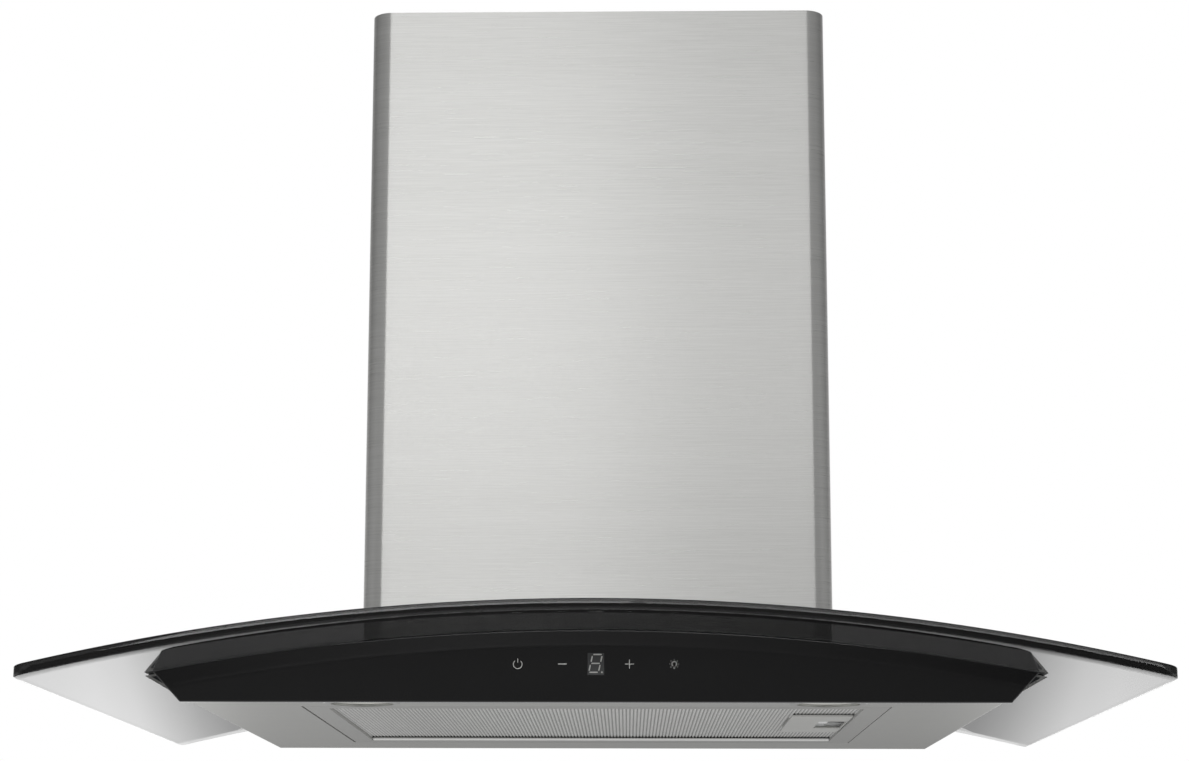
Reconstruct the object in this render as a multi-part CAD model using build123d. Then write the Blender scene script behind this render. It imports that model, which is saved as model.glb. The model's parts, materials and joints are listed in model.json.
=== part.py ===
from build123d import *
import math
import os

# Curved glass wall hood, 60 cm wide.  Millimetres.  X runs to the viewer's right, -Y
# points into the room and +Z up.  The wall is the plane y = 0, the underside of the
# steel body is z = 0 and the hood is centred on x = 0.

# ---------------------------------------------------------------- driving dimensions
# canopy glass: one arched sheet of toughened glass
glass_width = 600.0
glass_depth = 500.0
glass_thick = 6.0
glass_radius = 1296.0        # radius of the arch, top face
glass_front_corner = 6.0     # plan radius of the two front corners
glass_back_corner = 3.0
glass_arris = 0.8            # ground edge all round
seal_thick = 1.0             # foam strip between body and glass
seal_width = 9.0
seal_inset = 2.0
seal_film = 0.05             # adhesive film between foam and glass

# steel body under the glass
pan_bottom_width = 458.0
pan_top_width = 498.0
pan_depth = 405.0
pan_height = 35.7            # at the centre line
pan_sheet = 1.0
pan_bend = 1.6               # outer radius of the folds along the flanks
wall_screw_x = 150.0
wall_screw_z = 13.0
wall_screw_r = 3.0

# control panel: black glass plate on the front of the body
panel_top_inset = 5.5        # from the body's top corners
panel_bottom_inset = 0.9
panel_drop = 3.4             # hangs below the body's underside
panel_arris = 0.5            # ground edge of the front face
panel_thick = 4.0
panel_glass_gap = 0.4
tape_thick = 2.1
tape_width = 4.0
tape_inset = 1.5

# touch control behind the panel
window_width = 134.0
window_bottom = 6.0
window_top = 29.0
tray_depth = 18.0
tray_wall = 1.5
tray_margin = 4.0
tray_gap = 1.5
board_thick = 1.6
board_clear = 0.5
board_stand_off = 8.5
post_r = 2.5
key_z = 17.6
key_pitch = 18.4             # centre to the - and + keys
key_reach = 43.0             # centre to the power and lamp keys
key_pad_r = 5.0
key_pad_wall = 0.8
buzzer_x = -30.0
buzzer_r = 5.0
buzzer_height = 5.5
chip_width = 12.0
chip_length = 8.0
chip_height = 1.8
plug_x = 32.0
plug_width = 16.0
plug_length = 8.0
plug_height = 6.0
tray_cable_hole = 5.0
tray_cable_inset = 4.0
digit_width = 9.1
digit_height = 12.1
touch_gap = 0.3

# grease filter cassette, hinged down on its left edge
filter_width = 339.0
filter_depth = 285.0
filter_thick = 9.0
filter_back_y = -58.0
filter_gap = 0.5             # round the cassette in the body
filter_border = 14.0
filter_sheet = 1.0
filter_hem = 2.0             # folded lip round the visible mesh
filter_hinge_r = 1.2         # rounded lower left edge, which the cassette swings about
mesh_pitch = 2.2
mesh_ridge = 1.1
mesh_thick = 2.0
mesh_clear = 0.3
seat_gap = 0.4
seat_ledge = 12.0
seat_foot = 12.0
seat_sheet = 1.0
tab_width = 20.0
tab_reach = 6.0
tab_thick = 1.2
tab_inset = 60.0
tab_slot_gap = 1.0
rest_gap = 0.3               # between a resting piece and its seat

# sliding latch of the cassette
latch_plate_width = 37.5
latch_plate_length = 120.0
latch_plate_thick = 1.3
latch_plate_lift = 0.3       # the plate lies this much inside the folded lip
latch_well_width = 17.0
latch_well_length = 52.0
latch_wall = 1.0
latch_bar_width = 12.0
latch_bar_step = 6.0
latch_bar_thick = 2.4
latch_arm_width = 6.0
latch_tip_short = 0.8        # tongue tip to the edge of the body
latch_slide_gap = 0.4
latch_spring_r = 1.2
latch_spring_wire = 0.5

# lamps
lamp_x = 131.0
lamp_y = -377.0
lamp_bezel_r = 22.0
lamp_bezel_drop = 1.6
lamp_sleeve_r = 19.6
lamp_sleeve_wall = 1.0
lamp_sleeve_height = 6.0
lamp_hole_gap = 0.4
lamp_lens_thick = 1.5
lamp_lip = 1.0
lamp_can_height = 14.0
lamp_fin_pitch = 2.4
lamp_fin_depth = 2.5
clip_thick = 0.5
clip_width = 8.0
clip_reach = 6.0
clip_bend = 1.0

# decorative chimney, lower cover
chimney_width = 288.0
chimney_depth = 270.0
chimney_rise = 406.3         # above the crown of the glass
chimney_corner = 12.75
chimney_sheet = 1.0
chimney_return = 14.0        # folded flange on the wall
chimney_bearing = 4.0        # glass under the cover's edge
chimney_gap = 0.3

# telescopic upper cover
upper_length = 337.0
upper_sheet = 0.8
upper_gap = 0.8
upper_top_gap = 2.5
vent_count = 5
vent_length = 60.0
vent_height = 4.0
vent_pitch = 9.0
vent_top = 22.0
vent_y = -120.0
upper_bracket_height = 30.0
upper_bracket_thick = 1.5
upper_bracket_drop = 14.0
upper_bracket_wing = 12.0
upper_bracket_ear = 30.0
upper_hole_x = 100.0
upper_hole_r = 2.75

# blower box
box_height = 300.0
box_sheet = 1.0
box_flange = 10.0
box_wall_gap = 14.0
notch_gap = 4.0              # flange to the glass cut-out
notch_corner = 8.0
box_lip = 6.0                # body's top plate inside the box
clamp_length = 20.0
clamp_thick = 1.2
clamp_lap = 3.6
clamp_fit = 0.05             # under the clamp, on the arched foot
clamp_y_front = -205.0
clamp_y_back = -60.0

# fan: double-inlet centrifugal wheel in a four-centre scroll
wheel_r = 72.0
wheel_width = 92.0
wheel_ring = 5.0
wheel_ring_thick = 2.0
blade_count = 36
blade_inner_r = 58.0
blade_thick = 0.9
blade_lean = 12.0            # degrees gained from root to tip
blade_bow = 2.4
disc_thick = 1.6
hub_r = 12.0
hub_length = 18.0
shaft_r = 4.0
shaft_fit = 0.05
tongue_gap = 8.0
scroll_step = 10.0           # side of the four-centre square
scroll_wall = 2.0
scroll_side_gap = 4.0
scroll_tongue_angle = 65.0
scroll_shoulder = 65.0
neck_half = 50.0
axis_below_top = 140.0
inlet_r = 58.0
inlet_rim = 8.0
inlet_rim_height = 2.5
inlet_mouth = 3.0
motor_r = 40.0
motor_disc_gap = 9.0
motor_nose_r = 36.0
motor_nose_length = 9.5
motor_rib_count = 12
motor_rib = 1.2              # stands proud of the can
motor_rib_width = 2.4
motor_rib_root = 2.0
motor_rib_short = 4.0
bracket_thick = 2.0
bracket_ring_r = 45.0
bracket_arm_width = 14.0
bracket_reach = 76.0
bracket_screw_inset = 5.0
bracket_fit = 0.3
bracket_arm_count = 3

# outlet collar with its two damper flaps
collar_r = 75.0
collar_wall = 2.5
collar_height = 45.0
collar_base_r = 87.0
collar_base_thick = 3.0
axle_height = 22.0
axle_r = 1.5
axle_fit = 0.06
flap_thick = 1.5
flap_edge_gap = 1.5
flap_root = 4.2
knuckle_r = 3.0
knuckle_count = 4
knuckle_length = 16.0
knuckle_pitch = 30.0
lip_width = 3.0
lip_thick = 1.5

# electrics on the blower box
terminal_width = 46.0
terminal_depth = 40.0
terminal_height = 20.0
terminal_cover_height = 12.0
terminal_wall = 2.0
terminal_margin = 5.0
terminal_corner_r = 2.0
strip_inset_x = 5.0
strip_inset_y = 6.0
strip_width = 10.0
strip_height = 11.0
strip_hole_r = 1.7
strip_hole_depth = 5.0
strip_ways = 4
strip_pitch = 6.6
gland_r = 8.0
gland_hex_r = 10.5
gland_hex_height = 5.0
gland_height = 16.0
gland_neck_r = 6.0
gland_neck_length = 5.0
gland_dome = 2.0
gland_gap = 2.0              # hexagon to the edge of the cover
cable_r = 4.5
capacitor_r = 15.0
capacitor_height = 50.0
capacitor_margin = 8.0
capacitor_rim = 1.5
blade_terminal_width = 6.4
blade_terminal_thick = 0.8
blade_terminal_height = 8.0
blade_terminal_pitch = 10.0

# brackets
hanger_width = 180.0
hanger_height = 70.0
hanger_thick = 1.5
hanger_foot = 18.0
hanger_below_top = 5.0
bracket_bend = 2.0
keyhole_x = 60.0
keyhole_head_r = 5.5
keyhole_shank_r = 2.6
keyhole_rise = 10.0
stay_length = 60.0
stay_height = 40.0
stay_thick = 1.2
stay_bend = 2.0

# screws
screw_head_r = 3.6
screw_head_height = 2.4
screw_r = 2.0
screw_length = 8.0
screw_fit = 0.05

# ---------------------------------------------------------------- derived levels
crown_z = pan_height + seal_thick + glass_thick
arch_z = crown_z - glass_radius
glass_under_r = glass_radius - glass_thick
pan_r = glass_under_r - seal_thick

pan_front_y = -pan_depth
panel_back_y = pan_front_y - tape_thick
panel_front_y = panel_back_y - panel_thick
panel_half = pan_top_width / 2 - panel_top_inset
panel_bottom_half = pan_bottom_width / 2 - panel_bottom_inset

chimney_half = chimney_width / 2
chimney_top_z = crown_z + chimney_rise
notch_half = chimney_half - chimney_sheet - chimney_bearing
notch_front_y = -(chimney_depth - chimney_sheet - chimney_bearing)
box_half = notch_half - notch_gap - box_flange
box_front_y = notch_front_y + notch_gap + box_flange
box_back_y = -box_wall_gap
box_mid_y = (box_front_y + box_back_y) / 2

filter_front_y = filter_back_y - filter_depth
filter_mid_y = filter_back_y - filter_depth / 2
filter_half = filter_width / 2
opening_half = filter_half + filter_gap
ledge_z = filter_thick + seat_gap

scroll_inner_r = wheel_r + tongue_gap + scroll_step * 0.8
scroll_half = wheel_width / 2 + scroll_side_gap
scroll_left = scroll_inner_r + scroll_step / 2
scroll_right = scroll_inner_r + scroll_step * 2.5
wheel_x = (scroll_left - scroll_right) / 2
wheel_z = box_height - axis_below_top
scroll_face_y = box_mid_y - scroll_half - scroll_wall

axle_z = box_height + axle_height
collar_inner_r = collar_r - collar_wall


# ---------------------------------------------------------------- shape helpers
BASE = (Align.CENTER, Align.CENTER, Align.MIN)


def arch_height(radius, x):
    """Height above z = 0 of an arch of this radius at x."""
    return arch_z + math.sqrt(radius ** 2 - x ** 2)


def block(x0, x1, y0, y1, z0, z1):
    """Axis-parallel block between two corners."""
    size = Box(x1 - x0, y1 - y0, z1 - z0)
    return Pos((x0 + x1) / 2, (y0 + y1) / 2, (z0 + z1) / 2) * size


def rod(x, y, z0, z1, radius):
    """Upright cylinder."""
    return Pos(x, y, (z0 + z1) / 2) * Cylinder(radius, z1 - z0)


def rod_y(x, z, y0, y1, radius):
    """Cylinder along Y."""
    return Pos(x, (y0 + y1) / 2, z) * Rot(90, 0, 0) * Cylinder(radius, y1 - y0)


def barrel(radius):
    """Long cylinder along Y that carries the arch of the canopy."""
    return Pos(0, -glass_depth / 2, arch_z) * Rot(90, 0, 0) * Cylinder(radius, 2 * glass_depth)


def plan_rect(x0, x1, y0, y1):
    """Rectangle in plan."""
    return Pos((x0 + x1) / 2, (y0 + y1) / 2) * Rectangle(x1 - x0, y1 - y0)


def arch_plate(plan, outer_r, inner_r):
    """Sheet bent to the canopy's arch, with the given outline in plan."""
    span = Pos(0, 0, -glass_width / 2) * extrude(plan, amount=glass_width)
    return span & barrel(outer_r) - barrel(inner_r)


def front_prism(face, y_front, y_back):
    """Outline drawn in front view, taken from y_front back to y_back."""
    return extrude(Plane.XZ.offset(-y_back) * face, amount=y_back - y_front)


def outline(*points):
    """Closed outline through straight-sided points."""
    return make_face(Polyline(*points, close=True))


def bent_strip(points, thickness, bend):
    """Edge view of a folded metal strip along its centre line."""
    return trace(FilletPolyline(*points, radius=bend), line_width=thickness)


def both_sides(shape):
    """The shape and its mirror image about the centre plane, as separate solids."""
    return Compound(children=list(shape.solids()) + list(mirror(shape, about=Plane.YZ).solids()))


def group(shapes):
    """Several separate solids under one name."""
    return Compound(children=[solid for shape in shapes for solid in shape.solids()])


def screw(length=screw_length):
    """Pan-head screw, head up, seat at z = 0."""
    head = fillet(Cylinder(screw_head_r, screw_head_height, align=BASE).faces().sort_by(Axis.Z)[-1].edges(),
                  screw_head_height * 0.45)
    return head + Pos(0, 0, -length) * Cylinder(screw_r, length, align=BASE)


# ---------------------------------------------------------------- canopy glass
def canopy_glass():
    """Arched glass sheet, notched at the wall for the blower box."""
    plan = plan_rect(-glass_width / 2, glass_width / 2, -glass_depth, 0)
    corners = plan.vertices().sort_by(Axis.Y)
    plan = fillet(corners[:2], glass_front_corner)
    plan = fillet(plan.vertices().sort_by(Axis.Y)[-2:], glass_back_corner)
    notch = plan_rect(-notch_half, notch_half, notch_front_y, glass_back_corner)
    notch = fillet(notch.vertices().sort_by(Axis.Y)[:2], notch_corner)
    glass = arch_plate(plan - notch, glass_radius, glass_under_r)
    rim = [edge for edge in glass.edges() if on_outer_rim(edge) and not stands_upright(edge)]
    return chamfer(rim, glass_arris)


def on_outer_rim(edge):
    """True for the long edges of the sheet, not those round the notch."""
    middle = edge.position_at(0.5)
    at_side = abs(middle.X) > glass_width / 2 - glass_thick
    at_front = middle.Y < -glass_depth + glass_thick
    return at_side or at_front


def stands_upright(edge):
    """True for the short straight edges that run through the sheet's thickness."""
    run = edge.tangent_at(0.5)
    return edge.geom_type == GeomType.LINE and abs(run.Y) < abs(run.Z)


def glass_seal():
    """Foam strips between the body's top plate and the glass, round the rim and the notch."""
    half = pan_top_width / 2 - seal_inset
    back = -seal_inset
    front = pan_front_y + seal_inset
    rim = plan_rect(-half, half, front, back)
    rim -= plan_rect(-half + seal_width, half - seal_width, front + seal_width, back - seal_width)
    inner = notch_half + seal_inset
    tongue = plan_rect(-inner - seal_width, inner + seal_width,
                       notch_front_y - seal_inset - seal_width, back)
    opening = plan_rect(-inner, inner, notch_front_y - seal_inset, 0)
    strips = (rim + tongue) - opening
    return arch_plate(strips, glass_under_r - seal_film, pan_r)


# ---------------------------------------------------------------- steel body
def pan_slope():
    """Sideways run of the body's flanks for each millimetre of height."""
    return (pan_top_width - pan_bottom_width) / 2 / arch_height(pan_r, pan_top_width / 2)


def pan_section(inset):
    """Front view of the body between its flanks, moved inward by inset, open above."""
    slope = pan_slope()
    low = pan_bottom_width / 2 + slope * inset - inset * math.sqrt(1 + slope ** 2)
    rise = pan_height * 2
    high = low + slope * rise
    return outline((-low, inset), (low, inset), (high, inset + rise), (-high, inset + rise))


def folded_prism(face, y_front, y_back, bend):
    """Front-view outline taken back along Y, its two lowest edges rounded as folds."""
    prism = front_prism(face, y_front, y_back)
    return fillet(prism.edges().filter_by(Axis.Y).group_by(Axis.Z)[0], bend)


def body_cover():
    """Folded steel body: underside, flanks, front, back and arched top plate."""
    skin = folded_prism(pan_section(0), pan_front_y, 0, pan_bend) & barrel(pan_r)
    hollow = folded_prism(pan_section(pan_sheet), pan_front_y + pan_sheet, -pan_sheet, pan_bend - pan_sheet)
    body = skin - (hollow & barrel(pan_r - pan_sheet))
    mouth = plan_rect(-opening_half, opening_half, filter_front_y - filter_gap, filter_back_y + filter_gap)
    body -= Pos(0, 0, -pan_sheet) * extrude(mouth, amount=3 * pan_sheet)
    fan_x = box_half - box_lip
    body -= block(-fan_x, fan_x, box_front_y + box_lip, box_back_y - box_lip, pan_height / 2, pan_height)
    for side in (-1, 1):
        body -= rod(side * lamp_x, lamp_y, -pan_sheet, 2 * pan_sheet, lamp_sleeve_r + lamp_hole_gap)
        body -= rod_y(side * wall_screw_x, wall_screw_z, -2 * pan_sheet, pan_sheet, wall_screw_r)
    window_x = window_width / 2
    body -= block(-window_x, window_x, pan_front_y - pan_sheet, pan_front_y + 2 * pan_sheet,
                  window_bottom, window_top)
    return body - clamp_screw_holes()


def mouth_ring(outward, inward, z0, z1):
    """Flat ring round the body's mouth, reaching outward and inward from its edge."""
    front = filter_front_y - filter_gap
    back = filter_back_y + filter_gap
    outer = plan_rect(-opening_half - outward, opening_half + outward, front - outward, back + outward)
    inner = plan_rect(-opening_half + inward, opening_half - inward, front + inward, back - inward)
    return Pos(0, 0, z0) * extrude(outer - inner, amount=z1 - z0)


def filter_ledge():
    """Flat ring welded on the seat's upright walls; the cassette closes up to it."""
    return mouth_ring(seat_sheet, seat_ledge, ledge_z, ledge_z + seat_sheet)


def filter_seat():
    """Angle frame welded round the body's mouth: foot on the body and upright walls."""
    seat = mouth_ring(seat_foot, 0, pan_sheet, pan_sheet + seat_sheet)
    seat += mouth_ring(seat_sheet, 0, pan_sheet, ledge_z)
    for y in tab_centres():
        half = tab_width / 2 + tab_slot_gap
        seat -= block(-opening_half - tab_reach - tab_slot_gap, -opening_half + seat_sheet,
                      y - half, y + half, pan_sheet, ledge_z)
    for y in latch_arm_centres():
        half = latch_arm_width / 2 + tab_slot_gap
        seat -= block(opening_half - seat_sheet, opening_half + seat_foot, y - half, y + half,
                      latch_bar_z() - tab_slot_gap, ledge_z)
    return seat


# ---------------------------------------------------------------- control panel
def control_panel_glass():
    """Black glass plate across the front, six-sided, its top following the canopy."""
    top_r = glass_under_r - panel_glass_gap
    end_z = arch_height(top_r, panel_half)
    low_x = panel_bottom_half
    run = (panel_half - low_x) / (end_z + panel_drop)
    high_x = panel_half + run * pan_height
    face = outline((-low_x, -panel_drop), (low_x, -panel_drop),
                   (high_x, end_z + pan_height), (-high_x, end_z + pan_height))
    plate = front_prism(face, panel_front_y, panel_back_y) & barrel(top_r)
    return chamfer(plate.faces().sort_by(Axis.Y)[0].edges(), panel_arris)


def panel_tape():
    """Closed frame of adhesive foam tape that carries the panel on the body."""
    outer = front_prism(pan_section(tape_inset), panel_back_y, pan_front_y) & barrel(pan_r - tape_inset)
    edge = tape_inset + tape_width
    inner = front_prism(pan_section(edge), panel_back_y, pan_front_y) & barrel(pan_r - edge)
    return outer - inner


def board_face_y():
    """Front face of the circuit board."""
    return tray_back_y() - tray_wall - board_stand_off - board_thick


def tray_back_y():
    return pan_front_y + pan_sheet + tray_depth


def control_tray():
    """Plastic tray behind the window that holds the touch board on four posts."""
    half = window_width / 2 + tray_margin
    low = window_bottom - tray_gap
    high = window_top + tray_gap
    front = pan_front_y + pan_sheet
    tray = block(-half, half, front, tray_back_y(), low, high)
    tray -= block(-half + tray_wall, half - tray_wall, front, tray_back_y() - tray_wall,
                  low + tray_wall, high - tray_wall)
    post_back = tray_back_y() - tray_wall
    for x, z in post_places():
        tray += rod_y(x, z, board_face_y() + board_thick, post_back, post_r)
    hole_back = tray_back_y() - tray_cable_inset
    hole_low = low + tray_cable_inset
    return tray - block(-half, -half + tray_wall, hole_back - tray_cable_hole, hole_back,
                        hole_low, hole_low + tray_cable_hole)


def post_places():
    """Four board posts, near the corners of the board."""
    x = window_width / 2 - board_clear - tray_wall - post_r
    low = window_bottom + board_clear + post_r
    high = window_top - board_clear - post_r
    return [(side * x, z) for side in (-1, 1) for z in (low, high)]


def control_board():
    """Touch board."""
    half = window_width / 2 - board_clear
    front = board_face_y()
    return block(-half, half, front, front + board_thick,
                 window_bottom + board_clear, window_top - board_clear)


def board_components():
    """Buzzer, driver chip and plug on the back of the touch board."""
    back = board_face_y() + board_thick
    buzzer = rod_y(buzzer_x, key_z, back, back + buzzer_height, buzzer_r)
    chip = block(-chip_width / 2, chip_width / 2, back, back + chip_height,
                 key_z - chip_length / 2, key_z + chip_length / 2)
    plug = block(plug_x - plug_width / 2, plug_x + plug_width / 2, back, back + plug_height,
                 key_z - plug_length / 2, key_z + plug_length / 2)
    return group([buzzer, chip, plug])


def key_places():
    return [-key_reach, -key_pitch, key_pitch, key_reach]


def touch_pads():
    """Four sprung contact cups that bridge the board to the back of the panel glass."""
    front = panel_back_y + touch_gap
    back = board_face_y()
    cups = []
    for x in key_places():
        cup = rod_y(x, key_z, front, back, key_pad_r)
        cup -= rod_y(x, key_z, front + key_pad_wall, back, key_pad_r - key_pad_wall)
        cups.append(cup)
    return group(cups)


def digit_display():
    """Single seven-segment display block that shines through the panel glass."""
    return block(-digit_width / 2, digit_width / 2, panel_back_y + touch_gap, board_face_y(),
                 key_z - digit_height / 2, key_z + digit_height / 2)


# ---------------------------------------------------------------- lamps
def lamp_bezel(side):
    """Polished ring with a sleeve, pressed up through the body's underside."""
    ring = Cylinder(lamp_bezel_r, lamp_bezel_drop, align=BASE)
    ring = fillet(ring.faces().sort_by(Axis.Z)[0].edges(), lamp_bezel_drop * 0.8)
    sleeve = Cylinder(lamp_sleeve_r, lamp_bezel_drop + lamp_sleeve_height, align=BASE)
    bore_r = lamp_sleeve_r - lamp_sleeve_wall
    bore = Pos(0, 0, lamp_bezel_drop) * Cylinder(bore_r, 2 * lamp_sleeve_height, align=BASE)
    mouth = Cylinder(bore_r - lamp_lip, 4 * lamp_bezel_drop)
    return Pos(side * lamp_x, lamp_y, -lamp_bezel_drop) * (ring + sleeve - bore - mouth)


def lamp_inner_r():
    return lamp_sleeve_r - lamp_sleeve_wall - rest_gap


def lamp_lens(side):
    """Frosted disc resting on the bezel's inner lip."""
    return rod(side * lamp_x, lamp_y, 0, lamp_lens_thick, lamp_inner_r())


def lamp_can(side):
    """Ribbed aluminium can with the light source, standing on the lens in the sleeve."""
    base = lamp_lens_thick
    can = rod(side * lamp_x, lamp_y, base, base + lamp_can_height, lamp_inner_r())
    count = int((lamp_can_height - lamp_sleeve_height) / lamp_fin_pitch)
    for index in range(count):
        low = base + lamp_sleeve_height + index * lamp_fin_pitch
        high = low + lamp_fin_pitch / 2
        groove = rod(side * lamp_x, lamp_y, low, high, lamp_inner_r())
        can -= groove - rod(side * lamp_x, lamp_y, low, high, lamp_inner_r() - lamp_fin_depth)
    return can


def lamp_clips():
    """Spring clips that hold each bezel up against the body."""
    clips = []
    for side in (-1, 1):
        for turn in (0, 180):
            points = [(lamp_sleeve_r + clip_thick / 2, lamp_sleeve_height),
                      (lamp_sleeve_r + clip_thick / 2, lamp_sleeve_height - 2.0),
                      (lamp_sleeve_r + clip_reach, pan_sheet + clip_thick / 2)]
            edge_view = Plane.XZ * bent_strip(points, clip_thick, clip_bend)
            strip = extrude(edge_view, amount=clip_width / 2, both=True)
            clips.append(Pos(side * lamp_x, lamp_y, 0) * Rot(0, 0, turn) * strip)
    return group(clips)


# ---------------------------------------------------------------- grease filter
def tab_centres():
    return [filter_front_y + tab_inset, filter_back_y - tab_inset]


def latch_bar_z():
    """Underside of the latch slide, just above the cassette's folded lip."""
    return filter_hem + latch_slide_gap * 1.5


def latch_arm_centres():
    reach = latch_well_length / 2 + latch_arm_width / 2 + 1.0
    return [filter_mid_y - reach, filter_mid_y + reach]


def filter_frame():
    """Folded aluminium channel round the cassette, with two hooks on its left side."""
    full = block(-filter_half, filter_half, filter_front_y, filter_back_y, 0, filter_thick)
    swing_edge = full.edges().filter_by(Axis.Y).group_by(Axis.X)[0].sort_by(Axis.Z)[:1]
    full = fillet(swing_edge, filter_hinge_r)
    lip = filter_border
    view = block(-filter_half + lip, filter_half - lip, filter_front_y + lip, filter_back_y - lip,
                 -filter_thick, 2 * filter_thick)
    channel = block(-filter_half + filter_sheet, filter_half - filter_sheet, filter_front_y + filter_sheet,
                    filter_back_y - filter_sheet, filter_hem, filter_thick - filter_sheet)
    frame = full - view - channel
    for y in tab_centres():
        low = pan_sheet + rest_gap
        frame += block(-filter_half - tab_reach, -filter_half + filter_sheet,
                       y - tab_width / 2, y + tab_width / 2, low, low + tab_thick)
    for y in latch_arm_centres():
        frame -= arm_slot(y)
    return frame


def arm_slot(y):
    """Slot in the cassette's right side for one latch arm."""
    half = latch_arm_width / 2 + latch_slide_gap
    return block(filter_half - 2 * filter_sheet, filter_half + filter_sheet, y - half, y + half,
                 filter_hem, latch_bar_z() + latch_bar_thick + latch_slide_gap)


def mesh_floor():
    return filter_hem + mesh_clear


def mesh_half():
    return filter_half - filter_sheet - mesh_clear


def latch_pocket():
    """Space in the mesh and core taken by the latch housing."""
    half = latch_arm_centres()[1] - filter_mid_y + latch_arm_width / 2 + latch_slide_gap + latch_wall
    return block(latch_left_x() - latch_wall - mesh_clear, filter_half, filter_mid_y - half - mesh_clear,
                 filter_mid_y + half + mesh_clear, 0, latch_roof_z() + latch_wall + mesh_clear)


def latch_left_x():
    """Left wall of the latch cavity."""
    return filter_half - filter_border - latch_plate_width + latch_wall


def latch_roof_z():
    return latch_bar_z() + latch_bar_thick + latch_slide_gap


def filter_mesh():
    """Ridged face sheet of the cassette, ridges front to back."""
    half = mesh_half()
    count = int(2 * half / mesh_pitch)
    step = 2 * half / count
    low = mesh_floor()
    top = low + mesh_thick
    points = [(-half, top), (-half, low + mesh_ridge)]
    for index in range(count):
        x = -half + index * step
        points += [(x + step / 2, low), (x + step, low + mesh_ridge)]
    points.append((half, top))
    clear = filter_sheet + mesh_clear
    sheet = front_prism(outline(*points), filter_front_y + clear, filter_back_y - clear)
    return sheet - latch_pocket()


def filter_core():
    """Pack of expanded aluminium mesh behind the face sheet."""
    clear = filter_sheet + mesh_clear
    low = mesh_floor() + mesh_thick
    high = filter_thick - filter_sheet - mesh_clear
    pack = block(-mesh_half(), mesh_half(), filter_front_y + clear, filter_back_y - clear, low, high)
    return pack - latch_pocket()


def latch_housing():
    """Latch plate with its finger well and the closed cavity that the slide runs in."""
    right = filter_half - filter_border - rest_gap
    left = right - latch_plate_width + rest_gap
    half = latch_plate_length / 2
    low = filter_hem - latch_plate_thick + latch_plate_lift
    plate = block(left, right, filter_mid_y - half, filter_mid_y + half, low, low + latch_plate_thick)
    arm = latch_arm_centres()[1] - filter_mid_y + latch_arm_width / 2 + latch_slide_gap
    cavity_right = filter_half - filter_sheet - rest_gap
    shell = block(latch_left_x() - latch_wall, cavity_right, filter_mid_y - arm - latch_wall,
                  filter_mid_y + arm + latch_wall, low + latch_plate_thick, latch_roof_z() + latch_wall)
    shell -= block(latch_left_x(), cavity_right, filter_mid_y - arm, filter_mid_y + arm,
                   low + latch_plate_thick, latch_roof_z())
    well = block(right - latch_well_width - 1.0, right - 1.0, filter_mid_y - latch_well_length / 2,
                 filter_mid_y + latch_well_length / 2, 0, low + latch_plate_thick)
    return plate + shell - well


def latch_slide():
    """U-shaped slide: finger bar with a stepped edge and two arms that end in tongues."""
    z0 = latch_bar_z()
    z1 = z0 + latch_bar_thick
    arm_reach = latch_arm_centres()[1] - filter_mid_y + latch_arm_width / 2
    bar_right = filter_half - filter_border - latch_well_width + latch_bar_step
    bar_left = bar_right - latch_bar_width
    bar = block(bar_left, bar_right, filter_mid_y - arm_reach, filter_mid_y + arm_reach, z0, z1)
    bar -= block(bar_right - latch_bar_step, bar_right, filter_mid_y + latch_well_length / 6,
                 filter_mid_y + latch_well_length / 2, z0, z1)
    for y in latch_arm_centres():
        arm = block(bar_left, opening_half - latch_tip_short,
                    y - latch_arm_width / 2, y + latch_arm_width / 2, z0, z1)
        nose = arm.edges().filter_by(Axis.Y).group_by(Axis.X)[-1].sort_by(Axis.Z)[:1]
        bar += chamfer(nose, latch_bar_thick * 0.6)
    return bar


def latch_springs():
    """Two small return springs between the finger bar and the cavity's left wall."""
    z = latch_bar_z() + latch_bar_thick / 2
    bar_left = filter_half - filter_border - latch_well_width + latch_bar_step - latch_bar_width
    springs = []
    for side in (-1, 1):
        y = filter_mid_y + side * latch_well_length / 3
        length = bar_left - latch_left_x()
        coil = Cylinder(latch_spring_r, length) - Cylinder(latch_spring_r - latch_spring_wire, length)
        springs.append(Pos(bar_left - length / 2, y, z) * Rot(0, 90, 0) * coil)
    return group(springs)


# ---------------------------------------------------------------- blower box
def clamp_places():
    """Plan position of the screw in each of the four glass clamps."""
    x = box_half + box_flange / 2
    return [(side * x, y) for side in (-1, 1) for y in (clamp_y_front, clamp_y_back)]


def clamp_screw_holes():
    """Upright holes through body and flange under the glass clamps."""
    return [rod(x, y, 0, crown_z, screw_r + screw_fit) for x, y in clamp_places()]


def blower_box():
    """Sheet box that stands on the body through the notch; flanged foot, open below."""
    inner_half = box_half - box_sheet
    inner = plan_rect(-inner_half, inner_half, box_front_y + box_sheet, box_back_y - box_sheet)
    outer = block(-box_half, box_half, box_front_y, box_back_y, 0, box_height)
    walls = outer - extrude(inner, amount=box_height - box_sheet) - barrel(pan_r)
    foot = plan_rect(-box_half - box_flange, box_half + box_flange,
                     box_front_y - box_flange, box_back_y + box_flange)
    box = walls + arch_plate(foot - inner, pan_r + box_sheet, pan_r)
    box -= block(-neck_half, neck_half, box_mid_y - scroll_half, box_mid_y + scroll_half,
                 box_height - 2 * box_sheet, box_height)
    for x, hole_y in collar_screw_places():
        box -= rod(x, hole_y, box_height - 2 * box_sheet, box_height, screw_r + screw_fit)
    return box - clamp_screw_holes()


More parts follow.
